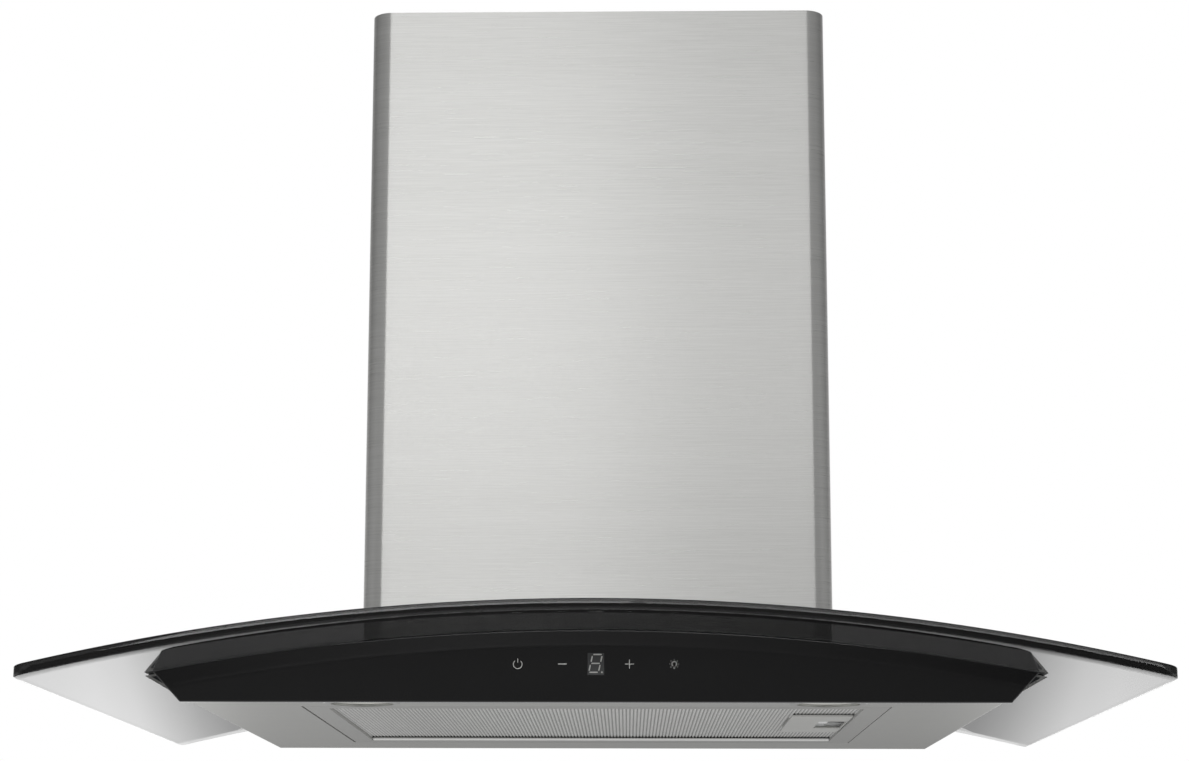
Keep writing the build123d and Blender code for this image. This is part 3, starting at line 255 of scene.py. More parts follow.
# %% [markdown]
# ## Plain metals
# Bright zinc on screws and springs, the satin lamp rings and the bare copper are nearly
# featureless, with a faint uneven gloss every few millimetres.  Mill-finish aluminium, for the
# cassette and the lamp cans, has soft lines, because the rolls' own grinding marks print into
# the strip; noise stretched from front to back draws them.

# %% Bright zinc, satin rings, copper and aluminium
bright_zinc = patchy("bright_zinc", 3.0, 3.0, ("#ABAFB3", "#C3C6C9"), (0.22, 0.36), Metallic=1.0)
satin_ring = patchy("satin_steel_ring", 3.0, 3.0, ("#A4A4A2", "#B4B4B2"), (0.26, 0.36), Metallic=1.0)
bare_copper = patchy("bare_copper", 3.0, 3.0, ("#A96A45", "#C98A63"), (0.25, 0.45), Metallic=1.0)


def rolled_aluminium(name, tones, roughness):
    """Mill-finish aluminium with rolling lines from front to back."""
    material, tree, shader = new_material(name, Metallic=1.0)
    place = add(tree, "ShaderNodeTexCoord").outputs["Object"]
    stretched = add(tree, "ShaderNodeMapping",
                    {"Vector": place, "Scale": (per_mm(0.8), per_mm(40.0), per_mm(0.8))}).outputs["Vector"]
    lines = add(tree, "ShaderNodeTexNoise", {"Vector": stretched, "Scale": 1.0, "Detail": 3.0}).outputs["Fac"]
    drive(tree, shader, lines, tones, (roughness - 0.06, roughness + 0.06), (0.2, 0.00004))
    return material


frame_finish = rolled_aluminium("satin_aluminium_frame", ("#A8A8A6", "#B4B4B2"), 0.55)
sheet_aluminium = rolled_aluminium("mill_finish_aluminium", ("#AEAEAC", "#C2C2C0"), 0.42)
print("materials so far:", len(bpy.data.materials))

# %% [markdown]
# Hot-dip galvanised sheet, for the blower box and the brackets, has spangle: zinc crystals some
# 8 mm across, each with its own tone.  Voronoi cells have that shape, with one tone per cell.
# Cells also make the foam gasket, whose cut cells lie open, and the copper tracks under the
# green solder mask of the touch board; there distance is counted along the axes, which gives
# the cells straight sides.

# %% Galvanised sheet, foam and circuit board
def celled(name, cell_mm, output, tones, gloss=None, relief=None, rise=None, metric="EUCLIDEAN", **sockets):
    """A finish of cells of one size; rise is the span of the output that is stretched to 0 to 1."""
    material, tree, shader = new_material(name, **sockets)
    place = add(tree, "ShaderNodeTexCoord").outputs["Object"]
    cells = add(tree, "ShaderNodeTexVoronoi", {"Vector": place, "Scale": per_mm(cell_mm)},
                distance=metric).outputs[output]
    if rise:
        cells = add(tree, "ShaderNodeMapRange",
                    {"Value": cells, "From Min": rise[0], "From Max": rise[1]}).outputs["Result"]
    drive(tree, shader, cells, tones, gloss, relief)
    return material


zinc_sheet = celled("galvanised_sheet", 8.0, "Color", ("#A3A7AA", "#C4C8CA"), gloss=(0.32, 0.5), Metallic=1.0)
gasket_foam = celled("closed_cell_foam", 0.7, "Distance", ("#17181A", "#303235"), relief=(0.6, 0.0002),
                     Roughness=0.95, IOR=1.45)
touch_board = celled("solder_mask_board", 2.5, "Distance", ("#0F4A2A", "#1C6B40"), relief=(0.4, 0.00004),
                     rise=(0.35, 0.45), metric="MANHATTAN", Roughness=0.35, IOR=1.5)
print("cells of 8.0, 0.7 and 2.5 mm:", zinc_sheet.name, gasket_foam.name, touch_board.name)

# %% [markdown]
# ## The pressed mesh of the grease filter
# The cassette's face is expanded aluminium, slit and stretched and then pressed into ridges.
# The ridges are real geometry in the CAD node, 152 of them over 336.4 mm.  The material adds
# what is finer than that: grease lies in the valleys and painted shade darkens them further, so
# the crests are painted brighter, and a row of slits 3 mm long runs along every ridge, staggered
# from ridge to ridge, each painted dark grey as shade seen through the opening.

# %% Pressed expanded aluminium
MESH_WIDTH_MM = 336.4
RIDGE_COUNT = 152
RIDGE_PITCH = MESH_WIDTH_MM / RIDGE_COUNT
SLIT_PITCH = 3.0


def pressed_mesh():
    """Expanded aluminium: lit crests, grease and painted shade in the valleys, slits painted dark."""
    material, tree, shader = new_material("pressed_aluminium_mesh", Metallic=1.0)
    place = add(tree, "ShaderNodeTexCoord").outputs["Object"]
    per_cell = (per_mm(RIDGE_PITCH), per_mm(SLIT_PITCH), 0.0)
    cells = add(tree, "ShaderNodeVectorMath", {0: place, 1: per_cell}, operation="MULTIPLY").outputs[0]
    axes = add(tree, "ShaderNodeSeparateXYZ", {0: cells}).outputs
    crest = add(tree, "ShaderNodeMath", {0: axes["X"], 1: 0.5}, operation="PINGPONG").outputs[0]
    row = add(tree, "ShaderNodeMath", {0: axes["X"]}, operation="FLOOR").outputs[0]
    along = add(tree, "ShaderNodeMath", {0: row, 1: 0.5, 2: axes["Y"]}, operation="MULTIPLY_ADD").outputs[0]
    gap = add(tree, "ShaderNodeMath", {0: along, 1: 0.5}, operation="PINGPONG").outputs[0]
    # The slits are painted dark grey: painted shade seen through the openings.
    slit_shadow = add(tree, "ShaderNodeMapRange",
               {"Value": gap, "From Min": 0.12, "From Max": 0.2,
                "To Min": 0.55, "To Max": 0.0}).outputs["Result"]
    # Crests painted bright and valleys dark: grease and painted shade in the valleys.
    bright = add(tree, "ShaderNodeMapRange",
                 {"Value": crest, "From Min": 0.0, "From Max": 0.35}).outputs["Result"]
    sheet = add(tree, "ShaderNodeMixRGB",
                {"Fac": bright, "Color1": linear("#A2A2A0"), "Color2": linear("#F0F0EE")}).outputs["Color"]
    tone = add(tree, "ShaderNodeMixRGB",
               {"Fac": slit_shadow, "Color1": sheet, "Color2": linear("#70706F")}).outputs["Color"]
    tree.links.new(tone, shader.inputs["Base Color"])
    drive(tree, shader, bright, gloss=(0.55, 0.4))
    drive(tree, shader, slit_shadow, relief=(0.5, -0.0002))
    return material


mesh_finish = pressed_mesh()
print("mesh: a ridge every", round(RIDGE_PITCH, 2), "mm, a slit every", SLIT_PITCH, "mm")

# %% [markdown]
# ## Plastics and the lamp lens
# Moulded ABS and polypropylene take a fine grain from the tool, here 0.6 mm, and the melt's
# flow leaves a slightly uneven colour some 40 mm wide.  The latch plate is plastic too, under
# a coat of silver lacquer, and its grey slide is painted light grey, as painted light in its
# shaded finger well.  The lens is glass with one etched face, which scatters the light that
# passes.

# %% Moulded plastic and etched lens
def moulded_plastic(name, tones, roughness):
    """Injection-moulded plastic with a fine tool grain."""
    material, tree, shader = new_material(name, IOR=1.5)
    place = add(tree, "ShaderNodeTexCoord").outputs["Object"]
    flow = add(tree, "ShaderNodeTexNoise",
               {"Vector": place, "Scale": per_mm(40.0), "Detail": 2.0}).outputs["Fac"]
    drive(tree, shader, flow, tones=tones)
    grain = add(tree, "ShaderNodeTexNoise",
                {"Vector": place, "Scale": per_mm(0.6), "Detail": 2.0}).outputs["Fac"]
    drive(tree, shader, grain, gloss=(roughness - 0.08, roughness + 0.08), relief=(0.25, 0.00005))
    return material


silver_lacquer = moulded_plastic("silver_lacquer", ("#999997", "#A3A3A1"), 0.4)
# The slide is painted lighter than grey plastic: painted light for its shaded finger well.
slide_painted_lighter = moulded_plastic("grey_abs_painted_lighter", ("#C8C9CA", "#D2D3D4"), 0.45)
black_abs = moulded_plastic("moulded_black_abs", ("#151517", "#1E1E20"), 0.45)
grey_abs = moulded_plastic("moulded_grey_abs", ("#7E7F80", "#8B8C8D"), 0.45)
white_plastic = moulded_plastic("moulded_white_polypropylene", ("#DBDAD4", "#E6E5DF"), 0.4)
lens_finish = patchy("etched_lens_glass", 0.5, 3.0, None, (0.4, 0.6), relief=(0.3, 0.00003),
                     Transmission_Weight=0.4, IOR=1.5, Base_Color=linear("#F4F4EF"))
print("materials so far:", len(bpy.data.materials))

# %% [markdown]
# ## Dress the CAD nodes
# The record says which finish each node has.  A table turns those names into the materials
# above, and each node keeps its own mesh.  A second table holds the nodes whose finish differs
# from the rest of their group: the two chimney covers, lighter than the body's steel with its
# painted shade, the ridged mesh and its frame, and the lacquered latch plate with its slide,
# painted light grey for its shaded well.  Folded sheet and moulded parts never have knife
# edges, so the larger ones get a narrow bevel: first the split corners are welded, then every
# edge sharper than 35 degrees is rounded by its real radius in millimetres.

# %% Finishes and edge radii of the CAD nodes
finishes = {
    "brushed_stainless": shaded_body_steel,
    "smoked_glass": glass_finish,
    "black_glass": panel_finish,
    "foam": gasket_foam,
    "black_plastic": black_abs,
    "circuit_board": touch_board,
    "white_plastic": white_plastic,
    "frosted_glass": lens_finish,
    "chrome": satin_ring,
    "aluminium": sheet_aluminium,
    "galvanised": zinc_sheet,
    "zinc_steel": bright_zinc,
    "grey_plastic": grey_abs,
    "copper": bare_copper,
}
own_finish = {
    "upper_chimney": chimney_steel,
    "lower_chimney": chimney_steel,
    "filter_mesh": mesh_finish,
    "filter_frame": frame_finish,
    "latch_housing": silver_lacquer,
    "latch_slide": slide_painted_lighter,
}
edge_radius_mm = {
    "hood_body": 0.25, "filter_frame": 0.3, "latch_housing": 0.2, "latch_slide": 0.3,
    "control_panel_glass": 0.15, "blower_box": 0.3, "upper_chimney": 0.2, "upper_bracket": 0.3,
    "hanger_bracket": 0.3, "terminal_box": 0.5, "terminal_cover": 0.6, "terminal_block": 0.3,
    "glass_clamps": 0.2, "chimney_stays": 0.2, "filter_seat": 0.2, "filter_ledge": 0.2,
}
SAME_CORNER = 0.000002
ROUNDED_FROM_DEG = 35


def dress(node, finish):
    """Give a CAD node its finish and, where the table says so, rounded edges."""
    piece = frame["nodes"][node]
    for material_slot in piece.material_slots:
        material_slot.material = finish
    if node in edge_radius_mm:
        piece.modifiers.new("shared_corners", "WELD").merge_threshold = SAME_CORNER
        rounding = piece.modifiers.new("edge_radius", "BEVEL")
        rounding.width = edge_radius_mm[node] / 1000
        rounding.segments = 2
        rounding.limit_method = "ANGLE"
        rounding.angle_limit = math.radians(ROUNDED_FROM_DEG)


for row in frame["record"]["subparts"]:
    dress(row["node"], own_finish.get(row["node"], finishes[row["material_slot"]]))

# %% [markdown]
# ## Building a new piece
# Where the CAD mesh is too coarse for a mirror finish, a new mesh takes the node's place.  A
# mesh is only a list of points and a list of faces over them, so each piece below works its
# points out and hands them to this one function, which smooths the shading over gentle
# bends, keeps real corners sharp and lets the piece ride with its CAD body.

# %% Piece builder
def new_piece(name, points, faces, material, slot, replaced=(), body="hood", sharp=30.0, bevel=None):
    """Mesh object from points and faces, riding on a CAD body; bevel is (width, picks_edge)."""
    shape = bmesh.new()
    corners = [shape.verts.new(point) for point in points]
    for face in faces:
        shape.faces.new([corners[index] for index in face])
    bmesh.ops.recalc_face_normals(shape, faces=shape.faces)
    if bevel:
        width, picks_edge = bevel
        rim = [edge for edge in shape.edges if picks_edge(edge)]
        bmesh.ops.bevel(shape, geom=rim, offset=width, segments=3, profile=0.5, affect="EDGES")
    mesh = bpy.data.meshes.new(name)
    shape.to_mesh(mesh)
    shape.free()
    mesh.shade_smooth()
    mesh.set_sharp_from_angle(angle=math.radians(sharp))
    mesh.materials.append(material)
    piece = bpy.data.objects.new(name, mesh)
    bpy.context.scene.collection.objects.link(piece)
    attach(piece, body)
    if replaced:
        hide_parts(*replaced)
    return piece


# %% [markdown]
# ## The glass canopy
# One sheet, 600 by 500 mm, bent to a single arch and notched at the wall for the blower box.
# A subdivided plane with a bend modifier would do, but the notch and the round corners are
# easier as columns: every column runs from the front edge to the back edge of the outline at
# its own x, and its height follows the arch.  Under the fine mesh the reflections run without
# a kink.  First come the sizes, the arch and the rounded corners of the outline.

# %% Arch and corners of the canopy
ARCH_RADIUS = 1.296
FRONT_CORNER = 0.006
BACK_CORNER = 0.003
NOTCH_HALF = 0.139
NOTCH_FRONT_Y = -0.265
NOTCH_CORNER = 0.008

glass_low, glass_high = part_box("canopy_glass")
glass_half = glass_high.x
arch_z = glass_high.z - ARCH_RADIUS


def arch_height(radius, x):
    """Height of an arch of this radius, about the canopy's centre line, at x."""
    return arch_z + math.sqrt(radius ** 2 - x ** 2)


def corner_cut(x, edge, radius):
    """How far a rounded corner has left the straight edge at x."""
    inside = max(0.0, abs(x) - (edge - radius))
    return radius - math.sqrt(max(0.0, radius ** 2 - inside ** 2))


arch_rise = arch_height(ARCH_RADIUS, 0.0) - arch_height(ARCH_RADIUS, glass_half)
print("the arch rises", round(arch_rise * 1000, 1), "mm over", round(2000 * glass_half), "mm")

# %% [markdown]
# The columns stand closer together where the outline turns.  Even steps are enough between the
# corners, and round each corner there is a column for every nine degrees of its arc.

# %% Columns of the canopy
MIDDLE_STEPS = 26
WING_STEPS = 30
CORNER_STEPS = 10


def column_places():
    """x of every column: even steps, with more of them round the corners."""
    notch_start, corner_start = NOTCH_HALF - NOTCH_CORNER, glass_half - FRONT_CORNER
    places = set()
    for side in (-1, 1):
        for start, end, steps in ((0.0, notch_start, MIDDLE_STEPS), (NOTCH_HALF, corner_start, WING_STEPS)):
            places.update(side * (start + (end - start) * step / steps) for step in range(steps + 1))
        for centre, radius in ((notch_start, NOTCH_CORNER), (corner_start, FRONT_CORNER)):
            for step in range(1, CORNER_STEPS + 1):
                turned = math.radians(90 / CORNER_STEPS * step)
                places.add(side * (centre + radius * math.sin(turned)))
    return sorted({round(x, 7) for x in places})


columns = column_places()
print("columns:", len(columns))

# %% [markdown]
# Each column becomes a row of points on the upper face, and another on the face 6 mm under it.
# The columns beside the notch go on to the wall.  Quads join neighbouring columns, and wherever
# only one quad uses an edge, a wall between the two faces closes the sheet.

# %% Faces of the canopy
GLASS_THICK = 0.006
FRONT_ROWS = 16
BACK_ROWS = 12
SAME_PLACE = 0.000001


def canopy_points(radius):
    """Points of one face of the sheet, and their numbers column by column."""
    points, grid = [], []
    for x in columns:
        front = glass_low.y + corner_cut(x, glass_half, FRONT_CORNER)
        middle = NOTCH_FRONT_Y + NOTCH_CORNER
        if abs(x) < NOTCH_HALF:
            middle = NOTCH_FRONT_Y + corner_cut(x, NOTCH_HALF, NOTCH_CORNER)
        back = glass_high.y - corner_cut(x, glass_half, BACK_CORNER)
        depths = [front + (middle - front) * row / FRONT_ROWS for row in range(FRONT_ROWS + 1)]
        if abs(x) >= NOTCH_HALF - SAME_PLACE:
            depths += [middle + (back - middle) * row / BACK_ROWS for row in range(1, BACK_ROWS + 1)]
        grid.append(range(len(points), len(points) + len(depths)))
        points += [(x, y, arch_height(radius, x)) for y in depths]
    return points, grid


def canopy_faces(grid, first):
    """Quads between neighbouring columns of one face, its points counted from first."""
    faces = []
    for left, right in zip(grid, grid[1:]):
        for row in range(min(len(left), len(right)) - 1):
            quad = (left[row], right[row], right[row + 1], left[row + 1])
            faces.append([first + index for index in quad])
    return faces


def rim_faces(faces, count):
    """Walls between the two faces, along every edge that only one quad uses."""
    used = {}
    for face in faces:
        for start, end in zip(face, face[1:] + face[:1]):
            used.setdefault(frozenset((start, end)), []).append((start, end))
    lone = [uses[0] for uses in used.values() if len(uses) == 1]
    return [[end, start, start + count, end + count] for start, end in lone]


upper_points, grid = canopy_points(ARCH_RADIUS)
under_points = canopy_points(ARCH_RADIUS - GLASS_THICK)[0]
upper_faces = canopy_faces(grid, 0)
under_faces = [face[::-1] for face in canopy_faces(grid, len(upper_points))]
wall_faces = rim_faces(upper_faces, len(upper_points))
print("canopy:", len(upper_points + under_points), "points,", len(wall_faces), "walls along the rim")

# %% [markdown]
# The real sheet is ground along its whole edge, and the narrow ground bevel catches the light.
# It is cut only where a face meets the edge: there one side of the edge looks up or down and
# the other sideways.

# %% Canopy glass
GROUND_EDGE = 0.0008


def is_rim(edge):
    """True for an edge where a face of the sheet meets the cut edge."""
    if len(edge.link_faces) != 2:
        return False
    tilt = [abs(face.normal.z) for face in edge.link_faces]
    return max(tilt) > 0.9 and min(tilt) < 0.5


new_piece("canopy_sheet", upper_points + under_points, upper_faces + under_faces + wall_faces,
          glass_finish, "smoked_glass", replaced=["canopy_glass"], bevel=(GROUND_EDGE, is_rim))
print("ground edge:", GROUND_EDGE * 1000, "mm wide")

# %% [markdown]
# ## The chimney cover
# A U of 1 mm steel, folded round generous front corners and turned in at the wall, with its
# foot cut to the arch of the glass.  The fold line is drawn in plan as straight runs and arcs
# with a direction at every point.  Where a run ends and an arc begins, the same place can come
# twice, so repeats are left out.

# %% Fold line
RUN_STEP = 0.005
ARC_STEPS = 18


def fold_line(corners, radii):
    """Points along a folded sheet's middle, as (x, y, outward x, outward y)."""
    line = []
    start = Vector(corners[0])
    for index in range(1, len(corners)):
        corner = Vector(corners[index])
        heading = (corner - start).normalized()
        outward = Vector((heading.y, -heading.x))
        last = index == len(corners) - 1
        radius = 0.0 if last else radii[index - 1]
        run_end = corner - heading * radius
        steps = max(1, round((run_end - start).length / RUN_STEP))
        for step in range(steps + 1):
            line.append((*(start + (run_end - start) * step / steps), *outward))
        if last:
            break
        centre = run_end - outward * radius
        for step in range(1, ARC_STEPS):
            angle = math.radians(90 * step / ARC_STEPS)
            direction = outward * math.cos(angle) + heading * math.sin(angle)
            line.append((*(centre + direction * radius), *direction))
        next_heading = (Vector(corners[index + 1]) - corner).normalized()
        start = corner + next_heading * radius
    return line


def without_repeats(line):
    """The line with points that fall on the one before left out."""
    unique = line[:1]
    for point in line[1:]:
        if (Vector(point[:2]) - Vector(unique[-1][:2])).length > SAME_PLACE:
            unique.append(point)
    return unique


CHIMNEY_CORNER = 0.01275
CHIMNEY_SHEET = 0.001
WALL_RETURN = 0.014
WALL_FOLD = 0.0015

cover_low, cover_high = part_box("lower_chimney")
half_sheet = CHIMNEY_SHEET / 2
side_x = cover_high.x - half_sheet
wall_y = cover_high.y - half_sheet
front_y = cover_low.y + half_sheet
cover_corners = [(-cover_high.x + WALL_RETURN, wall_y), (-side_x, wall_y), (-side_x, front_y),
                 (side_x, front_y), (side_x, wall_y), (cover_high.x - WALL_RETURN, wall_y)]
cover_radii = [WALL_FOLD, CHIMNEY_CORNER - half_sheet, CHIMNEY_CORNER - half_sheet, WALL_FOLD]
cover_line = without_repeats(fold_line(cover_corners, cover_radii))
print("chimney cover:", len(cover_line), "stations along the fold line")

# %% [markdown]
# Moving half a sheet to each side of the line gives the two skins.  A solidify modifier would
# do that as well, but the foot has to follow the arch, a hair above the glass, on both skins.

# %% Chimney cover
FOOT_GAP = 0.0003


def sheet_skins(line, thick, low, high):
    """Closed mesh of a folded sheet standing upright; low gives the foot's height at x."""
    points, faces = [], []
    for x, y, out_x, out_y in line:
        for side in (0.5, -0.5):
            px, py = x + out_x * thick * side, y + out_y * thick * side
            points += [(px, py, low(px)), (px, py, high)]
    for index in range(len(line) - 1):
        a, b = 4 * index, 4 * (index + 1)
        faces += [[a, b, b + 1, a + 1], [a + 2, a + 3, b + 3, b + 2],
                  [a + 1, b + 1, b + 3, a + 3], [a, a + 2, b + 2, b]]
    end = 4 * (len(line) - 1)
    return points, faces + [[0, 1, 3, 2], [end, end + 2, end + 3, end + 1]]


def foot_height(x):
    """Height of the cover's foot at x."""
    return arch_height(ARCH_RADIUS + FOOT_GAP, x)


cover_mesh = sheet_skins(cover_line, CHIMNEY_SHEET, foot_height, cover_high.z)
new_piece("chimney_cover", *cover_mesh, chimney_steel, "brushed_stainless", replaced=["lower_chimney"])
print("chimney cover:", len(cover_mesh[0]), "points, foot", FOOT_GAP * 1000, "mm above the glass")

# %% [markdown]
# ## Rolled edges of the cassette
# The cassette's frame is folded from aluminium strip, and the edge that faces the cook is
# rolled over: seen from below, it is the pale line at the back of the mesh, painted paler than
# the frame as a painted highlight.  The latch plate's front edge is rounded as well.  The CAD
# solids have plain steps there.  A bevel would round every edge of those pieces alike, so one
# quarter round, as deep as the step, is laid against each of the two steps.

# %% Rolled edges
BORDER = 0.014
HEM = 0.002
MESH_FLOOR = 0.0023
SIDE_PLAY = 0.0002
ROLL_STEPS = 12


def quarter_round(name, left, right, step_y, low, depth, finish):
    """Quarter round under the mesh, from the foot of a step that faces the front."""
    turns = [math.radians(90 * step / ROLL_STEPS) for step in range(ROLL_STEPS + 1)]
    outline = [(step_y - depth * math.sin(turn), low + depth * (1 - math.cos(turn))) for turn in turns]
    outline.append((step_y, low + depth))
    count = len(outline)
    points = [(x, y, z) for x in (left, right) for y, z in outline]
    faces = [list(range(count)), list(range(2 * count - 1, count - 1, -1))]
    for index in range(count):
        following = (index + 1) % count
        faces.append([index, following, count + following, count + index])
    new_piece(name, points, faces, finish, "aluminium", body="filter", sharp=40.0)


frame_low, frame_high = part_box("filter_frame")
window_half = frame_high.x - BORDER - SIDE_PLAY
# The rail is painted paler than the frame's aluminium: a painted highlight on the rolled edge.
rail_painted_highlight = rolled_aluminium("aluminium_rail_painted_highlight", ("#CCCCCA", "#D6D6D4"), 0.35)
quarter_round("rear_rail_roll", -window_half, window_half, frame_high.y - BORDER, frame_low.z, HEM,
              rail_painted_highlight)

latch_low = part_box("latch_housing")[0]
latch_step = MESH_FLOOR - latch_low.z
quarter_round("latch_front_roll", latch_low.x + SIDE_PLAY, window_half, latch_low.y, latch_low.z,
              latch_step, silver_lacquer)
print("rolled edges:", HEM * 1000, "and", round(latch_step * 1000, 2), "mm deep")

# %% [markdown]
# ## The return springs of the latch
# Two wire springs push the latch back.  In the CAD frame each is a plain tube, so here a round
# wire runs along a helix instead, one wire radius inside the tube's ends and wall.

# %% Helix
WIRE_RADIUS = 0.00025
COIL_TURNS = 9

spring_low, spring_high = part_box("latch_springs")
spring_length = spring_high.x - spring_low.x
spring_radius = (spring_high.z - spring_low.z) / 2
spring_z = (spring_low.z + spring_high.z) / 2


def helix_point(turned, coil_y):
    """Middle of the wire after this many turns of the coil whose middle is at y = coil_y."""
    angle = 2 * math.pi * turned
    radius = spring_radius - WIRE_RADIUS
    run = WIRE_RADIUS + (spring_length - 2 * WIRE_RADIUS) * turned / COIL_TURNS
    return Vector((spring_low.x + run, coil_y + radius * math.cos(angle),
                   spring_z + radius * math.sin(angle)))


print("springs:", round(spring_length * 1000, 2), "mm long,", COIL_TURNS, "turns")

# %% [markdown]
# At every station a small ring of points is laid round the wire's middle, and neighbouring
# rings are joined by quads.

# %% Return springs
COIL_STEPS = 20
WIRE_SIDES = 6


def coil(coil_y, first):
    """Round wire along a helix, its points counted from first."""
    points, faces = [], []
    rings = COIL_TURNS * COIL_STEPS + 1
    along = Vector((1.0, 0.0, 0.0))
    for index in range(rings):
        here = helix_point(index / COIL_STEPS, coil_y)
        outward = (here - Vector((here.x, coil_y, spring_z))).normalized()
        for side in range(WIRE_SIDES):
            angle = 2 * math.pi * side / WIRE_SIDES
            points.append(here + WIRE_RADIUS * (outward * math.cos(angle) + along * math.sin(angle)))
    for near in range(first, first + (rings - 1) * WIRE_SIDES, WIRE_SIDES):
        far = near + WIRE_SIDES
        for side in range(WIRE_SIDES):
            following = (side + 1) % WIRE_SIDES
            faces.append([near + side, near + following, far + following, far + side])
    last = first + (rings - 1) * WIRE_SIDES
    faces.append([first + side for side in reversed(range(WIRE_SIDES))])
    faces.append([last + side for side in range(WIRE_SIDES)])
    return points, faces


spring_points, spring_faces = [], []
for middle_y in (spring_low.y + spring_radius, spring_high.y - spring_radius):
    coil_points, coil_faces = coil(middle_y, len(spring_points))
    spring_points += coil_points
    spring_faces += coil_faces
springs = new_piece("return_coils", spring_points, spring_faces, bright_zinc, "zinc_steel",
                    replaced=["latch_springs"], body="filter", sharp=60.0)
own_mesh(springs)
print("springs:", len(spring_points), "points")

# %% [markdown]
# ## The printed touch symbols
# The keys are printed on the panel: a power sign, minus, plus and a lamp, with a one-digit
# display between them.  Each symbol is a set of flat outlines in millimetres.  Text objects
# with a symbol font would need a font file, so the signs are drawn from two shapes: a straight
# stroke with slightly pointed ends, and a ring that may be open.

# %% Strokes and rings
TIP_SHARE = 0.6
RING_STEPS = 28


def bar(x0, z0, x1, z1, stroke):
    """Outline of a straight stroke between two points."""
    along = Vector((x1 - x0, z1 - z0)).normalized() * stroke / 2
    across = Vector((-along.y, along.x))
    tip = along * TIP_SHARE
    start, end = Vector((x0, z0)), Vector((x1, z1))
    corners = [start - across, end - across, end + tip, end + across, start + across, start - tip]
    return [[tuple(corner) for corner in corners]]


def ring(cx, cz, radius, stroke, start_deg, sweep_deg):
    """Outline of a ring or part of one, as quads along its stroke."""
    quads = []
    for step in range(RING_STEPS):
        quad = []
        for shift, edge in ((0, -0.5), (0, 0.5), (1, 0.5), (1, -0.5)):
            angle = math.radians(start_deg + sweep_deg * (step + shift) / RING_STEPS)
            reach = radius + stroke * edge
            quad.append((cx + reach * math.cos(angle), cz + reach * math.sin(angle)))
        quads.append(quad)
    return quads


print("a full ring has", len(ring(0, 0, 1, 0.1, 0, 360)), "quads")

# %% [markdown]
# Screen-print ink lies on the glass as a film some hundredths of a millimetre thick.  The
# outlines are drawn in the panel's own plane and raised by that film, so they stay crisp from
# any distance, where a painted texture would blur.  Fired ink is matt and its coat is a little
# uneven.

# %% Ink
INK_FILM = 0.00006
KEY_Z = 0.0176
KEY_MIDDLE = 0.00105
MM = 0.001

panel_face_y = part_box("control_panel_glass")[0].y


def ink_mesh(outlines, key_x, under=0.0):
    """Raised outlines round a key's middle; under is the thickness of the ink beneath them."""
    points, faces = [], []
    for shape in outlines:
        first, count = len(points), len(shape)
        for y in (panel_face_y - under, panel_face_y - under - INK_FILM):
            points += [(KEY_MIDDLE + key_x + px * MM, y, KEY_Z + pz * MM) for px, pz in shape]
        faces.append([first + index for index in range(count)])
        faces.append([first + count + index for index in reversed(range(count))])
        for index in range(count):
            near, far = first + index, first + (index + 1) % count
            faces.append([near, near + count, far + count, far])
    return points, faces


symbol_ink = patchy("grey_ceramic_ink", 0.4, 2.0, ("#D8D8D6", "#E4E4E2"), (0.4, 0.6), IOR=1.5)
print("ink:", symbol_ink.name, "at y =", round(panel_face_y, 4))

# %% [markdown]
# The four signs stand in a row at the pitch of the touch pads behind the glass.

# %% Symbols on the panel
KEY_PITCH = 0.0184
KEY_REACH = 0.043
RAY_START, RAY_END = 2.2, 2.65
RAY_STROKE = 0.2

lamp_rays = []
for angle in (-40, 0, 45, 90, 135, 180, 220):
    ray_x, ray_z = math.cos(math.radians(angle)), math.sin(math.radians(angle))
    lamp_rays += bar(RAY_START * ray_x, RAY_START * ray_z, RAY_END * ray_x, RAY_END * ray_z, RAY_STROKE)
symbols = {
    "power_symbol": (-KEY_REACH, ring(0, -0.2, 2.4, 0.36, 128, 284) + bar(0, 0.7, 0, 2.9, 0.36)),
    "minus_symbol": (-KEY_PITCH, bar(-2.3, 0, 2.3, 0, 0.5)),
    "plus_symbol": (KEY_PITCH, bar(-2.4, 0, 2.4, 0, 0.36) + bar(0, 0.18, 0, 2.4, 0.36)
                    + bar(0, -0.18, 0, -2.4, 0.36)),
    "lamp_symbol": (KEY_REACH, ring(0, 0.1, 1.3, 0.28, -60, 300) + bar(-0.5, -1.7, 0.5, -1.7, 0.22)
                    + bar(-0.35, -2.4, 0.35, -2.4, 0.22) + lamp_rays),
}
for name, (key_x, outlines) in symbols.items():
    new_piece(name, *ink_mesh(outlines, key_x), symbol_ink, "white_plastic")
print("symbols:", ", ".join(symbols))

# %% [markdown]
# The display is a small window with the seven slanted bars and the point of a one-digit
# indicator.  All bars show faintly even when it is off, because they are moulded diffusers.

# %% Digit display
DIGIT_WIDTH, DIGIT_HEIGHT = 9.1, 12.1
SEGMENT_STROKE = 0.66
SLANT = 0.22
SEGMENT_HALF = 2.65
SEGMENT_RISE = 4.9
SEGMENT_SHIFT = -0.2
SEGMENT_INSET = 0.5
DIGIT_LIFT = 0.35
POINT_OFFSET = 1.9
POINT_RADIUS = 0.45
SQUARE = ((-1, -1), (1, -1), (1, 1), (-1, 1))


def leaning(x, z):
    """Where a point of the upright digit goes when the digit leans to the right."""
    return (SEGMENT_SHIFT + x + z * SLANT, z + DIGIT_LIFT)


